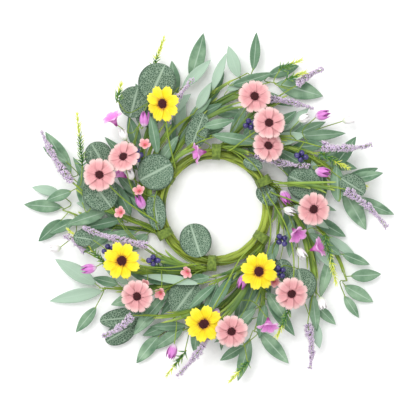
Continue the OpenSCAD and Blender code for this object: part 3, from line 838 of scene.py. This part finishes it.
class Pile:
    """Gathers small meshes into one piece."""

    def __init__(self) -> None:
        """Starts empty."""
        self.bm = bmesh.new()

    def add(self, mesh: bpy.types.Mesh, place: Matrix | None = None, tone: float | None = None,
            turned: float = 0.0, finish: int = 0, keep: bool = False) -> None:
        """Adds a copy of a mesh.

        Args:
            mesh: the mesh, in mm.
            place: where it goes.
            tone: its own tone, kept in the blade attribute.
            turned: 1 where it shows its underside.
            finish: which of the piece's finishes it takes.
            keep: whether the mesh is used again.
        """
        part = mesh.copy() if keep else mesh
        if place is not None:
            part.transform(place)
        count = len(part.vertices)
        if tone is not None:
            values = np.zeros(count * 3, dtype=np.float32)
            part.attributes["blade"].data.foreach_get("vector", values)
            values[2::3] = tone
            part.attributes["blade"].data.foreach_set("vector", values)
        if turned:
            part.attributes["turned"].data.foreach_set("value", np.full(count, turned, dtype=np.float32))
        part.polygons.foreach_set("material_index", [finish] * len(part.polygons))
        self.bm.from_mesh(part)
        bpy.data.meshes.remove(part)

    def piece(self, name: str, slot: str, finishes: list[Finish], nodes: Iterable[str], body: str = ROOT,
              cloth: bool = False) -> bpy.types.Object:
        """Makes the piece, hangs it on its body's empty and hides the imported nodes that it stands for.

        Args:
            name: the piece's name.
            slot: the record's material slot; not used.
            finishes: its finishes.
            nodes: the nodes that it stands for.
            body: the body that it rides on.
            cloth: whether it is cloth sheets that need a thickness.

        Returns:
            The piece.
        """
        mesh = bpy.data.meshes.new(name)
        self.bm.to_mesh(mesh)
        self.bm.free()
        mesh.transform(Matrix.Scale(MM, 4))
        mesh.polygons.foreach_set("use_smooth", [True] * len(mesh.polygons))
        made = bpy.data.objects.new(name, mesh)
        bpy.context.scene.collection.objects.link(made)
        for finish in finishes:
            mesh.materials.append(finish.material())
        if cloth:
            skin = made.modifiers.new("cloth", "SOLIDIFY")
            skin.thickness = CLOTH_T * MM
            skin.offset = 0.0
        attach(made, body)
        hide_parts(*nodes)
        LOG.info("%s: %d faces on %s", name, len(mesh.polygons), body)
        return made


def along_axis(foot: Vector, ahead: Vector, spin: float = 0.0) -> Matrix:
    """Turns something made along +Z to point along a direction from a foot."""
    turn = ahead.to_track_quat("Z", "Y").to_matrix().to_4x4()
    return Matrix.Translation(foot) @ turn @ Matrix.Rotation(spin, 4, "Z")


# ---- ring ---------------------------------------------------------------------------------

@dataclass
class Ring:
    """The vine ring: five vines of twisted strands, their steel hoop and the tape wraps."""

    vines: int = 5
    strands: int = 6             # strands that a vine is twisted from
    strand_d: float = 2.5        # mm
    turns: int = 5               # turns of a strand round its vine
    stations: int = 110          # points along a strand
    ridges: int = 5              # turns of the tape in a wrap
    ridge_h: float = 0.25        # how far an edge of the tape stands up, mm
    corner: float = 3.2          # how square a wrap is: 2 is a round one
    seed: int = 4

    def swell(self, t: float, strand: int) -> float:
        """Radius of a strand at a share of its length."""
        return self.strand_d / 2 * (0.9 + 0.1 * math.sin(2 * math.pi * (7 * t + strand / 3)))

    def vine(self, number: int) -> None:
        """Builds one vine, as strands that twist round its middle line."""
        rng = random.Random(self.seed + number)
        node = f"ring_vine_{number}"
        low, high = (Vector(corner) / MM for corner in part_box(node))
        vine_r = (high.z - low.z) / 2
        ring_r = (high.x - low.x) / 2 - vine_r
        offset = vine_r - self.strand_d / 2
        pile = Pile()
        for k in range(self.strands):
            start = 2 * math.pi * k / self.strands + rng.uniform(-0.3, 0.3)
            drift = rng.uniform(0.6, 1.0)
            line = []
            for i in range(self.stations):
                a = 2 * math.pi * i / self.stations
                twist = start + self.turns * a + 0.4 * math.sin(3 * a + k)
                out = offset * drift * math.cos(twist)
                line.append(Vector((
                    (ring_r + out) * math.cos(a), (ring_r + out) * math.sin(a),
                    low.z + vine_r + offset * drift * math.sin(twist),
                )))
            pile.add(sweep(line, lambda t, k=k: self.swell(t, k), tone=rng.random(), ring=True))
        pile.piece(f"twisted_{node}", "vine", [VINE_PLASTIC], [node])

    def sleeve(self, wrap: Solid) -> bpy.types.Mesh:
        """Makes one tape wrap: a rounded sleeve with a ridge at each turn of the tape."""
        radii = np.linalg.norm(wrap.points[:, :2], axis=1)
        angles = np.arctan2(wrap.points[:, 1], wrap.points[:, 0])
        middle = math.atan2(wrap.middle.y, wrap.middle.x)
        spread = np.angle(np.exp(1j * (angles - middle)))
        half_w = (radii.max() - radii.min()) / 2 - self.ridge_h
        mean_r = (radii.max() + radii.min()) / 2
        half_h = wrap.points[:, 2].max() / 2 - self.ridge_h

        def point(u: float, s: float) -> Vector:
            """Point of the sleeve, at a share along the ring and at a turn round its section."""
            turn = math.pi * (s + 1)
            ridge = self.ridge_h * abs(math.sin(math.pi * self.ridges * u + turn / 2))
            c, d = math.cos(turn), math.sin(turn)
            square = (abs(c) ** self.corner + abs(d) ** self.corner) ** (-1 / self.corner)
            a = middle + spread.min() + (spread.max() - spread.min()) * u
            r = mean_r + (half_w * square + ridge) * c
            z = half_h + self.ridge_h + (half_h * square + ridge) * d
            return Vector((r * math.cos(a), r * math.sin(a), z))

        return finished(pressed(28, 48, point), "sleeve")

    def tape(self) -> None:
        """Builds the tape wraps; their thickness goes inwards."""
        pile = Pile()
        for wrap in read_solids("floral_tape"):
            pile.add(self.sleeve(wrap))
        wraps = pile.piece("crepe_tape_wraps", "floral_tape", [CREPE_TAPE], ["floral_tape"], cloth=True)
        wraps.modifiers["cloth"].offset = -1.0

    def build(self) -> None:
        """Builds the ring's pieces and dresses its wires."""
        for number in range(1, self.vines + 1):
            self.vine(number)
        self.tape()
        for node in ("hoop_wire", "wire_anchors"):
            metal = frame["nodes"][node]
            metal.data.materials.clear()
            metal.data.materials.append(WIRE_PAINT.material())
            LOG.info("%s: kept, painted wire", node)


# ---- stems --------------------------------------------------------------------------------

HOSTS = ("willow_stems", "dollar_stems", "lilac_stems")   # long stems that short stalks start from


@dataclass
class Stems:
    """The wired stems: smooth tapered rods, the long ones with twisted strands and grass blades."""

    radii: dict[str, float] = field(default_factory=lambda: {
        "willow_stems": 1.0, "dollar_stems": 0.75, "lilac_stems": 1.0, "flower_stems": 0.7,
        "rosemary_stems": 0.7,
    })
    bundled: tuple[str, ...] = ("willow_stems", "lilac_stems")
    taper: float = 0.35           # share of a stem's radius that is lost on its way
    stalk_r: float = 0.6          # mm
    strands: int = 3              # thin stems twisted round each bundled stem
    strand_r: float = 0.75        # mm
    grasses: int = 4              # grass blades along each bundled stem
    seed: int = 11
    lines: dict[str, list[list[Vector]]] = field(default_factory=dict)

    def read(self) -> None:
        """Reads the middle lines of all long stems."""
        for node in HOSTS:
            self.lines[node] = read_lines(node)
        self.lines["flower_stems"] = read_lines("flower_stems", least_rings=6)

    def host(self, foot: Vector) -> Vector:
        """Finds the point of a long stem that a short stalk runs to, along its own layer."""
        points = (p for node in HOSTS for line in self.lines[node] for p in smooth_line(line, 5.0))
        return min(points, key=lambda p: Vector((foot.x - p.x, foot.y - p.y, 3 * (foot.z - p.z))).length)

    def rod(self, line: list[Vector], radius: float, rng: random.Random) -> bpy.types.Mesh:
        """Makes one tapered rod along a line."""
        return sweep(smooth_line(line), lambda t: radius * (1 - self.taper * t), tone=rng.random())

    def stalk(self, seat: Seat, rng: random.Random) -> bpy.types.Mesh:
        """Makes a short bowed stalk from a long stem to the foot of a leaf or blossom."""
        start, ahead = self.host(seat.foot), seat.ahead * min(3.0, seat.length / 6)
        way = seat.foot - start
        knee = start + way * 0.55 - ahead * min(4.0, way.length * 0.2)
        line = smooth_line([start, knee, seat.foot + ahead], 3.0)
        return sweep(line, lambda t: self.stalk_r, sides=6, tone=rng.random())

    def bundle(self, pile: Pile, line: list[Vector], rng: random.Random) -> None:
        """Adds a long stem as twisted strands with grass blades beside it."""
        path = smooth_line(line)
        last = len(path) - 1
        for k in range(self.strands):
            start, spread = 2 * math.pi * k / self.strands, rng.uniform(1.2, 2.0)
            strand = []
            for i, point in enumerate(path):
                t = i / last
                ahead = (path[min(i + 1, last)] - path[max(i - 1, 0)]).normalized()
                side, turn = UP.cross(ahead).normalized(), start + 5 * t
                out = side * 2 * math.cos(turn) + UP * math.sin(turn)
                strand.append(point + out * spread * (1 - 0.6 * t))
            end = max(6, round(len(strand) * rng.uniform(0.6, 1.0)))
            radius = self.strand_r * rng.uniform(0.85, 1.15)
            pile.add(sweep(strand[:end], lambda t, r=radius: r * (1 - 0.5 * t), sides=6, tone=rng.random()))
        for _ in range(self.grasses):
            start = rng.uniform(0.0, 0.4)
            whole = sum((b - a).length for a, b in zip(path, path[1:])) * (1 - start)
            pile.add(ribbon(path, start, whole * rng.uniform(0.45, 0.95), rng.uniform(2.6, 5.0),
                            rng.uniform(-9, 9), rng.uniform(-0.8, 1.6), rng.random()), finish=1)

    def build(self, seats: dict[str, list[Seat]]) -> None:
        """Builds every stem and stalk.

        Args:
            seats: for each node of stems, the leaves or blossoms that hang on its short stalks.
        """
        for node, radius in self.radii.items():
            rng = random.Random(self.seed + len(node))
            pile = Pile()
            for line in self.lines.get(node, []):
                pile.add(self.rod(line, radius, rng))
                if node in self.bundled:
                    self.bundle(pile, line, rng)
            for seat in seats.get(node, []):
                pile.add(self.stalk(seat, rng))
            pile.piece(f"smooth_{node}", "plastic_stem", [STEM_PLASTIC, GRASS_PLASTIC], [node])


# ---- leaves -------------------------------------------------------------------------------

@dataclass
class Leaves:
    """Cloth leaves: pointed willow leaves and round dollar leaves."""

    willow_regions: tuple[str, ...] = (
        "left", "lower_left", "bottom", "lower_right", "right", "upper_right", "top", "inner",
    )
    dollar_groups: tuple[str, ...] = ("upper", "lower", "inner")
    pale_share: float = 0.22      # share of willow leaves that show their underside
    seed: int = 23

    def willow(self) -> list[Seat]:
        """Builds the willow leaves, one piece for each region.

        Returns:
            The seats of the leaves, for their stalks.
        """
        rng = random.Random(self.seed)
        found = []
        for region in self.willow_regions:
            node, pile = f"willow_leaves_{region}", Pile()
            for seat in leaf_seats(node):
                blade = Blade(
                    seat.length + 1.0, seat.width * 1.04, fold=rng.uniform(0.14, 0.3),
                    ripple=rng.uniform(0.1, 0.5), arch=rng.uniform(0.0, 0.035),
                    curl=rng.uniform(-0.05, 0.03), sway=rng.uniform(-0.04, 0.04), phase=rng.random(),
                )
                pale = 1.0 if rng.random() < self.pale_share else 0.0
                pile.add(blade.mesh(14, 6), seat.matrix(), rng.random(), pale)
                found.append(seat)
            pile.piece(f"cloth_{node}", "willow_leaf", [WILLOW_CLOTH], [node], cloth=True)
        return found

    def dollar(self, ends: list[Vector]) -> None:
        """Builds the dollar leaves, one piece for each group, from where their stems end."""
        rng = random.Random(self.seed + 1)
        for group in self.dollar_groups:
            node, pile = f"dollar_leaves_{group}", Pile()
            for seat in leaf_seats(node, ends):
                blade = Blade(
                    seat.length * 1.01, seat.width * 1.02, Tip.ROUND, fold=rng.uniform(0.03, 0.1),
                    arch=rng.uniform(0.0, 0.03), curl=rng.uniform(-0.03, 0.03),
                    ripple=rng.uniform(0.2, 0.6), phase=rng.random(),
                )
                pile.add(blade.mesh(16, 12), seat.matrix(), rng.random())
            pile.piece(f"cloth_{node}", "dollar_leaf", [DOLLAR_CLOTH], [node], cloth=True)


# ---- sprigs -------------------------------------------------------------------------------

@dataclass
class Sprigs:
    """Moulded sprigs: lilac spikes of small florets and rosemary spikes of needles."""

    groups: tuple[str, ...] = ("left", "right")
    whorl_gap: float = 2.6        # between the whorls of a lilac spike, mm
    florets: int = 7              # florets in a whorl
    bow: float = 3.0              # how far a lilac spike's middle stands beside its foot and tip, mm
    needle_gap: float = 3.6       # between the whorls of a rosemary sprig, mm
    needles: int = 4              # needles in a whorl
    bud_start: float = 0.5        # share of a rosemary sprig where its yellow buds start
    seed: int = 31

    @staticmethod
    def leaning(lean: float, turn: float) -> Vector:
        """Direction that leans away from +X by one angle, turned round it by another."""
        out = math.sin(lean)
        return Vector((math.cos(lean), out * math.cos(turn), out * math.sin(turn)))

    def floret(self) -> bpy.types.Mesh:
        """Makes a four-lobed floret on a short tube, along +Z."""
        bm, blade, _ = blank()
        bmesh.ops.create_cone(bm, cap_ends=True, segments=8, radius1=0.35, radius2=2.7, depth=2.6)
        top = max(bm.faces, key=lambda f: f.calc_center_median().z)
        rim = list(top.verts)
        middle = bmesh.ops.poke(bm, faces=[top])["verts"]
        for k, v in enumerate(rim):
            v[blade] = (1.0, 0.0, 0.5)
            if k % 2:
                v.co = v.co * 0.5 + UP * 0.2
        for v in middle:
            v.co.z -= 1.1
            v[blade] = (0.0, 0.0, 0.5)
        return finished(bm, "floret")

    def needle(self) -> bpy.types.Mesh:
        """Makes a bent pointed needle, along +Z."""
        line = [Vector((0, 0, 0)), Vector((0, 0.2, 3.0)), Vector((0, 1.0, 6.0)), Vector((0, 2.4, 9.0))]
        sizes = (0.45, 0.75, 0.6, 0.12)
        return sweep(line, lambda t: sizes[round(t * 3)], sides=4)

    def lilac(self) -> None:
        """Builds the lilac spikes."""
        floret = self.floret()
        for group in self.groups:
            rng, node, pile = random.Random(self.seed + len(group)), f"lilac_sprigs_{group}", Pile()
            for seat in sprig_seats(node):
                seated = seat.matrix()
                tip, bow = Vector((seat.length - 1.5, 0, 0)), self.bow * rng.choice((-1, 1))
                aside = Vector((0, bow, 0))
                core = [seated @ (tip * t + aside * math.sin(math.pi * t)) for t in (0, 0.5, 1)]
                pile.add(sweep(smooth_line(core), lambda t: 0.8 - 0.4 * t, 6), finish=1)
                whorls = int(seat.length / self.whorl_gap)
                for i in range(whorls):
                    t = (i + 0.5) / whorls
                    reach = (seat.width / 2 + 1.6) * (1 - 0.55 * t) + 1.2 * math.sin(14 * t + seat.length)
                    count = self.florets if t < 0.75 else self.florets - 2
                    for k in range(count):
                        turn = 2 * math.pi * (k + 0.5 * (i % 2)) / count + rng.uniform(-0.3, 0.3)
                        out = self.leaning(math.radians(rng.uniform(45, 75)), turn)
                        foot = tip * t + Vector((rng.uniform(-1, 1), bow * math.sin(math.pi * t), 0))
                        foot += out * max(0.8, reach * rng.uniform(0.55, 1.05) - 0.6)
                        size = rng.uniform(0.8, 1.25) * (1.0 - 0.35 * t)
                        place = seated @ along_axis(foot, out, rng.uniform(0, 6)) @ Matrix.Scale(size, 4)
                        pile.add(floret, place, rng.random(), keep=True)
            pile.piece(f"florets_{node}", "lilac_floret", [LILAC_PLASTIC, STEM_PLASTIC], [node])

    def rosemary(self) -> None:
        """Builds the rosemary spikes."""
        needle = self.needle()
        for group in self.groups:
            rng, node, pile = random.Random(self.seed + len(group)), f"rosemary_sprigs_{group}", Pile()
            for seat in sprig_seats(node):
                seated = seat.matrix()
                tip = Vector((seat.length - 4, 0, 0))
                core = [seated @ (tip * t) for t in (0, 0.5, 1)]
                pile.add(sweep(core, lambda t: 0.7 - 0.3 * t, 6), finish=1)
                whorls = int(seat.length / self.needle_gap)
                for i in range(whorls):
                    t = (i + 0.5) / whorls
                    for k in range(self.needles):
                        turn = 2 * math.pi * (k + 0.5 * (i % 2)) / self.needles + rng.uniform(-0.3, 0.3)
                        out = self.leaning(math.radians(rng.uniform(38, 55) - 22 * t), turn)
                        size = rng.uniform(0.85, 1.1) * (1.05 - 0.35 * t)
                        spin = rng.uniform(0, 6)
                        place = seated @ along_axis(tip * t, out, spin) @ Matrix.Scale(size, 4)
                        in_bud = t > rng.uniform(self.bud_start - 0.15, self.bud_start + 0.15)
                        pile.add(needle, place, rng.random() * 0.6, finish=2 if in_bud else 0, keep=True)
            finishes = [NEEDLE_PLASTIC, STEM_PLASTIC, BUD_PLASTIC]
            pile.piece(f"needles_{node}", "rosemary_needle", finishes, [node])

    def build(self) -> None:
        """Builds both kinds of sprig."""
        self.lilac()
        self.rosemary()


# ---- daisies ------------------------------------------------------------------------------

@dataclass
class DaisyKind:
    """What one kind of daisy is made of."""

    petals: int
    tip: Tip
    cloth: Finish
    slot: str
    overlap: float         # a petal's width, as a share of the room that it has


YELLOW = DaisyKind(8, Tip.NOTCHED, YELLOW_CLOTH, "yellow_petal", overlap=0.98)
PINK = DaisyKind(12, Tip.TOOTHED, PINK_CLOTH, "pink_petal", overlap=1.12)


@dataclass
class Daisies:
    """Daisies: pressed petals round a flocked eye, on a calyx and a wired stem."""

    fronts: int = 4              # of each kind
    sepals: int = 6
    tufts: int = 70              # nap of an eye
    stamens: int = 26
    dome: float = 0.8            # an eye's dome, as a share of the eye's radius
    dome_h: float = 0.45         # its height, as a share of its own radius
    calyx_r: float = 4.2         # mm
    calyx_h: float = 4.6         # mm
    stem_r: float = 1.0          # mm
    eyelet_r: float = 1.7        # outer radius of the wire eyelet, mm
    wire_r: float = 0.5          # mm
    leaving: float = 1.5         # power of a stem's way outwards: a higher one leaves the ring later
    late: tuple[str, float] = ("yellow_daisy_4", 3.0)    # this one passes under another head first
    seed: int = 47

    def petals(self, pile: Pile, seat: Seat, kind: DaisyKind, rng: random.Random) -> None:
        """Adds a head's petals to a pile, every second one a little higher."""
        reach = seat.width / 2
        wide = 2 * math.pi * reach * WIDEST / kind.petals * kind.overlap
        for k in range(kind.petals):
            high = k % 2
            blade = Blade(
                reach * rng.uniform(0.95, 1.0), wide * rng.uniform(0.95, 1.05), kind.tip, foot=0.35,
                fold=rng.uniform(0.12, 0.3), arch=rng.uniform(0.04, 0.08), curl=rng.uniform(-0.04, 0.05),
                ripple=rng.uniform(0.2, 0.5), phase=rng.random(),
            )
            turn = Matrix.Rotation(2 * math.pi * (k + rng.uniform(-0.06, 0.06)) / kind.petals, 4, "Z")
            tilt = Matrix.Rotation(rng.uniform(-0.09, 0.02), 4, "Y")
            lift = Matrix.Translation((0, 0, 0.5 + 0.9 * high))
            pile.add(blade.mesh(12, 16), seat.matrix() @ lift @ turn @ tilt, rng.random())

    def eye(self, pile: Pile, seat: Seat, radius: float, rng: random.Random) -> None:
        """Adds a head's eye: a dome with a nap of tufts, inside a ring of stamens."""
        place = seat.matrix() @ Matrix.Translation((0, 0, PETAL_T + 0.6))
        dome_r = radius * self.dome
        dome = blank()[0]
        bmesh.ops.create_uvsphere(dome, u_segments=28, v_segments=14, radius=dome_r)
        bmesh.ops.scale(dome, vec=(1, 1, self.dome_h), verts=dome.verts)
        cut = bmesh.ops.bisect_plane(
            dome, geom=[*dome.verts, *dome.edges, *dome.faces], plane_co=(0, 0, 0), plane_no=(0, 0, -1),
            clear_outer=True,
        )["geom_cut"]
        bmesh.ops.contextual_create(dome, geom=[g for g in cut if isinstance(g, bmesh.types.BMEdge)])
        pile.add(finished(dome, "dome"), place)
        tuft = blank()[0]
        bmesh.ops.create_cone(tuft, cap_ends=True, segments=5, radius1=0.5, radius2=0.3, depth=1.1)
        tuft_mesh = finished(tuft, "tuft")
        golden = math.pi * (3 - math.sqrt(5))
        for i in range(self.tufts):
            share = math.sqrt((i + 0.5) / self.tufts)
            rise = self.dome_h * dome_r * math.sqrt(max(0.0, 1 - share * share))
            spot = Matrix.Rotation(i * golden, 3, "Z") @ Vector((share * dome_r, 0, rise))
            out = Vector((spot.x, spot.y, spot.z * 3 + 1.5)).normalized()
            pile.add(tuft_mesh, place @ along_axis(spot, out), keep=True)
        for i in range(self.stamens):
            turn = 2 * math.pi * (i + rng.uniform(-0.2, 0.2)) / self.stamens
            out = Vector((math.cos(turn), math.sin(turn), rng.uniform(0.25, 0.7))).normalized()
            foot = Vector((math.cos(turn), math.sin(turn), 0)) * radius * 0.72
            stretch = Matrix.Diagonal((0.7, 0.7, rng.uniform(2.0, 3.2), 1.0))
            pile.add(tuft_mesh, place @ along_axis(foot + out * 0.8, out) @ stretch, finish=1, keep=True)

    def calyx(self, pile: Pile, seat: Seat) -> None:
        """Adds a head's green cup and sepals under the petals."""
        base, neck_r = seat.foot - seat.up * self.calyx_h, 1.1
        cup = [base + seat.up * self.calyx_h * share for share in (0, 0.5, 0.95)]
        pile.add(sweep(cup, lambda t: neck_r + (self.calyx_r - neck_r) * t ** 0.8, 12, tone=0.8))
        blade = Blade(self.calyx_r * 1.9, 3.4, fold=0.25, curl=0.06, arch=0.05)
        for k in range(self.sepals):
            sepal = pressed(6, 2, blade.point)
            bmesh.ops.solidify(sepal, geom=sepal.faces, thickness=CLOTH_T)
            turn = Matrix.Rotation(2 * math.pi * k / self.sepals, 4, "Z")
            place = seat.matrix() @ Matrix.Translation((0, 0, -0.5)) @ turn
            pile.add(as_mesh(sepal, "sepal"), place, 0.9)

    def stem(self, pile: Pile, name: str, seat: Seat) -> None:
        """Adds a front daisy's stem, from the wire eyelet that it turns on to its calyx.

        Args:
            pile: where the stem goes.
            name: the daisy's body.
            seat: its head.
        """
        joint = next(j for j in frame["record"]["behaviour"]["joints"] if j["child"] == name)
        hinge, end = Vector(joint["pos_m"]) / MM, seat.foot - seat.up * (self.calyx_h - 0.2)
        start_a, end_a = math.atan2(hinge.y, hinge.x), math.atan2(end.y, end.x)
        swing = (end_a - start_a + math.pi) % (2 * math.pi) - math.pi
        power = self.late[1] if name == self.late[0] else self.leaving
        line = []
        for i in range(12):
            t = i / 11
            a, r = start_a + swing * t, hinge.xy.length + (end.xy.length - hinge.xy.length) * t ** power
            line.append(Vector((r * math.cos(a), r * math.sin(a), hinge.z + (end.z - hinge.z) * t ** 1.3)))
        line[0] += (line[1] - line[0]).normalized() * self.eyelet_r * 0.8
        pile.add(sweep(smooth_line(line, 4.0), lambda t: self.stem_r * (1 - 0.25 * t), tone=0.4))
        ahead = Vector(joint["axis"]).cross(UP).normalized()
        eyelet = [hinge + (ahead * math.cos(a) + UP * math.sin(a)) * (self.eyelet_r - self.wire_r)
                  for a in (2 * math.pi * i / 24 for i in range(24))]
        pile.add(sweep(eyelet, lambda t: self.wire_r, 6, tone=0.9, ring=True))

    def front(self, name: str, kind: DaisyKind) -> None:
        """Builds one daisy of the front, on its own body."""
        rng = random.Random(f"{self.seed}{name}")
        seat = head_seats(f"{name}_petals")[0]
        petals, eye, stem = Pile(), Pile(), Pile()
        self.petals(petals, seat, kind, rng)
        node = f"{name}_petals"
        petals.piece(f"pressed_{node}", kind.slot, [kind.cloth], [node], name, cloth=True)
        self.eye(eye, seat, read_solids(f"{name}_eye")[0].reach(seat.foot), rng)
        eye.piece(f"flocked_{name}_eye", "daisy_eye", [EYE_FLOCK, STAMEN_FLOCK], [f"{name}_eye"], name)
        self.stem(stem, name, seat)
        self.calyx(stem, seat)
        stem.piece(f"wired_{name}_stem", "plastic_stem", [STEM_PLASTIC], [f"{name}_stem"], name)

    def backs(self) -> None:
        """Builds the daisies that are tied into the wreath."""
        rng = random.Random(self.seed)
        heads, eyes = Pile(), Pile()
        solids = read_solids("back_daisy_eyes")
        for seat in head_seats("back_daisy_petals"):
            self.petals(heads, seat, PINK, rng)
            solid = min(solids, key=lambda s: (s.middle - seat.foot).length)
            self.eye(eyes, seat, solid.reach(seat.foot), rng)
        node = "back_daisy_petals"
        heads.piece(f"pressed_{node}", PINK.slot, [PINK.cloth], [node], cloth=True)
        eyes.piece("flocked_back_daisy_eyes", "daisy_eye", [EYE_FLOCK, STAMEN_FLOCK], ["back_daisy_eyes"])

    def build(self) -> None:
        """Builds all daisies."""
        for number in range(1, self.fronts + 1):
            self.front(f"yellow_daisy_{number}", YELLOW)
            self.front(f"pink_daisy_{number}", PINK)
        self.backs()


# ---- other blossoms -----------------------------------------------------------------------

@dataclass
class Bloom:
    """A blossom of petals that lie on a turned surface. Sizes are shares of its length and half width."""

    node: str
    slot: str
    cloth: Finish
    petals: int
    profile: list[tuple[float, float]]     # (radius, height) from the foot to the petals' tips
    overlap: float = 1.3
    point: float = 0.3                     # how far a petal's sides are drawn back from its tip
    narrow: float = 0.5                    # width of a petal at its tip
    seed: int = 61

    def petal(self, seat: Seat, turn: float, inner: float) -> bpy.types.Mesh:
        """Makes one petal.

        Args:
            seat: the blossom's place and size.
            turn: angle of the petal round the blossom.
            inner: how much nearer the middle it lies, as a share.

        Returns:
            The petal's mesh, an open sheet.
        """
        radii, heights = zip(*self.profile)
        marks = np.linspace(0, 1, len(radii))

        def point(u: float, s: float) -> Vector:
            """Point of the petal on the blossom's turned surface."""
            share = u * (1 - self.point * s * s * u * u)
            r = float(np.interp(share, marks, radii)) * seat.width / 2 * (1 - inner)
            h = float(np.interp(share, marks, heights)) * seat.length
            wide = math.pi / self.petals * self.overlap * (1 - (1 - self.narrow) * u ** 3)
            a = turn + wide * s
            return Vector((r * math.cos(a), r * math.sin(a), h))

        return as_mesh(pressed(10, 8, point), "petal")

    def build(self) -> list[Seat]:
        """Builds the blossoms of the node and returns their seats."""
        rng = random.Random(self.seed + len(self.node))
        pile, seats = Pile(), mouth_seats(self.node)
        for seat in seats:
            place = along_axis(seat.foot, seat.ahead, rng.uniform(0, 6))
            for k in range(self.petals):
                inner = 0.1 * (k % 2) + rng.uniform(0, 0.04)
                turn = 2 * math.pi * (k + rng.uniform(-0.08, 0.08)) / self.petals
                sway = Matrix.Rotation(rng.uniform(-0.06, 0.06), 4, "X")
                pile.add(self.petal(seat, turn, inner), place @ sway, rng.random())
        pile.piece(f"pressed_{self.node}", self.slot, [self.cloth], [self.node], cloth=True)
        return seats


@dataclass
class Berries:
    """Clusters of lacquered berries, each berry with a dimple at its end."""

    dimple: float = 0.9          # mm
    seed: int = 71

    def build(self) -> list[Seat]:
        """Builds the berries.

        Returns:
            A seat for each cluster, for its stalk.
        """
        rng = random.Random(self.seed)
        pile = Pile()
        clusters: list[list[Vector]] = []
        for solid in read_solids("berries"):
            middle, size = solid.middle, np.ptp(solid.points, axis=0).max() / 2
            home = next((c for c in clusters if (c[0] - middle).length < 5 * size), None)
            if home is None:
                home = []
                clusters.append(home)
            home.append(middle)
            ball = blank()[0]
            bmesh.ops.create_uvsphere(ball, u_segments=18, v_segments=12, radius=size)
            for v in ball.verts:
                polar = math.hypot(v.co.x, v.co.y) / size
                if v.co.z > 0:
                    v.co.z -= self.dimple * math.exp(-(polar / 0.28) ** 2)
            out = Vector((rng.uniform(-1, 1), rng.uniform(-1, 1), rng.uniform(0.4, 1.2))).normalized()
            pile.add(finished(ball, "berry"), along_axis(middle, out))
        seats = []
        for cluster in clusters:
            heart = sum(cluster, Vector()) / len(cluster)
            seats.append(Seat(heart, Vector((heart.x, heart.y, 0)).normalized(), UP, 12.0, 12.0))
        pile.piece("lacquered_berries", "berry", [BERRY_LACQUER], ["berries"])
        return seats


def other_blossoms() -> list[Seat]:
    """Builds the freesias, tulips, coral blossoms and berries and returns all their seats."""
    blooms = [
        Bloom("freesia_blooms", "freesia_petal", FREESIA_CLOTH, 6,
              [(0.1, 0), (0.22, 0.3), (0.4, 0.55), (0.95, 0.9), (1.3, 0.86)],
              overlap=1.5, narrow=0.45, point=0.22),
        Bloom("pink_tulips", "pink_tulip_petal", PINK_TULIP_CLOTH, 6,
              [(0.15, 0), (0.8, 0.22), (1.0, 0.5), (0.92, 0.8), (0.7, 1.05)], narrow=0.45),
        Bloom("white_tulips", "white_tulip_petal", WHITE_TULIP_CLOTH, 6,
              [(0.15, 0), (0.8, 0.22), (1.0, 0.5), (0.95, 0.8), (0.8, 1.05)], narrow=0.45),
        Bloom("coral_blossoms", "coral_petal", CORAL_CLOTH, 5,
              [(0.1, 0), (0.4, 0.25), (0.8, 0.7), (1.25, 1.0)], overlap=1.1, narrow=0.8, point=0.22),
    ]
    return [seat for bloom in blooms for seat in bloom.build()] + Berries().build()


# ---- floor, light and camera --------------------------------------------------------------

@dataclass
class Studio:
    """A pale floor, one broad softbox and a camera straight above. Sizes in metres."""

    floor: float = 12.0          # side of the floor
    height: float = 4.0          # of the camera
    view_width: float = 0.4925   # what the camera sees of the floor
    middle: tuple[float, float] = (-0.014, 0.006)
    sensor: float = 36.0         # mm
    sky: float = 1.0             # strength
    lamp_w: float = 40.0         # watts
    lamp_size: float = 1.6
    lamp_place: tuple[float, float, float] = (-0.9, 1.1, 2.2)

    def build(self) -> None:
        """Adds the floor, the lights and the camera."""
        bm = bmesh.new()
        bmesh.ops.create_grid(bm, x_segments=1, y_segments=1, size=self.floor / 2)
        mesh = as_mesh(bm, "floor")
        floor = bpy.data.objects.new("floor", mesh)
        mesh.materials.append(FLOOR_PAPER.material())
        bpy.context.scene.collection.objects.link(floor)
        world = bpy.data.worlds.new("sky")
        world.use_nodes = True
        light = world.node_tree.nodes["Background"].inputs
        light["Color"].default_value = linear("#ffffff")
        light["Strength"].default_value = self.sky
        bpy.context.scene.world = world
        bpy.context.scene.view_settings.view_transform = "Standard"
        lamp = bpy.data.lights.new("softbox", "AREA")
        lamp.energy, lamp.size = self.lamp_w, self.lamp_size
        box = bpy.data.objects.new("softbox", lamp)
        box.location = self.lamp_place
        box.rotation_euler = (-Vector(box.location)).to_track_quat("-Z", "Y").to_euler()
        bpy.context.scene.collection.objects.link(box)
        lens = bpy.data.cameras.new("camera")
        lens.sensor_width = self.sensor
        lens.lens = self.sensor * self.height / self.view_width
        camera = bpy.data.objects.new("camera", lens)
        camera.location = (*self.middle, self.height)
        bpy.context.scene.collection.objects.link(camera)
        bpy.context.scene.camera = camera


def main() -> None:
    """Builds the wreath's pieces in order, then the studio."""
    logging.basicConfig(level=logging.INFO, format="%(name)s: %(message)s")
    stems = Stems()
    stems.read()
    Ring().build()
    leaves = Leaves()
    seats = {"willow_stems": leaves.willow()}
    leaves.dollar([line[-1] for line in stems.lines["dollar_stems"]])
    sprigs = Sprigs()
    sprigs.build()
    seats["rosemary_stems"] = [s for g in sprigs.groups for s in sprig_seats(f"rosemary_sprigs_{g}")]
    Daisies().build()
    seats["flower_stems"] = other_blossoms()
    stems.build(seats)
    Studio().build()


if __name__ == "__main__":
    main()
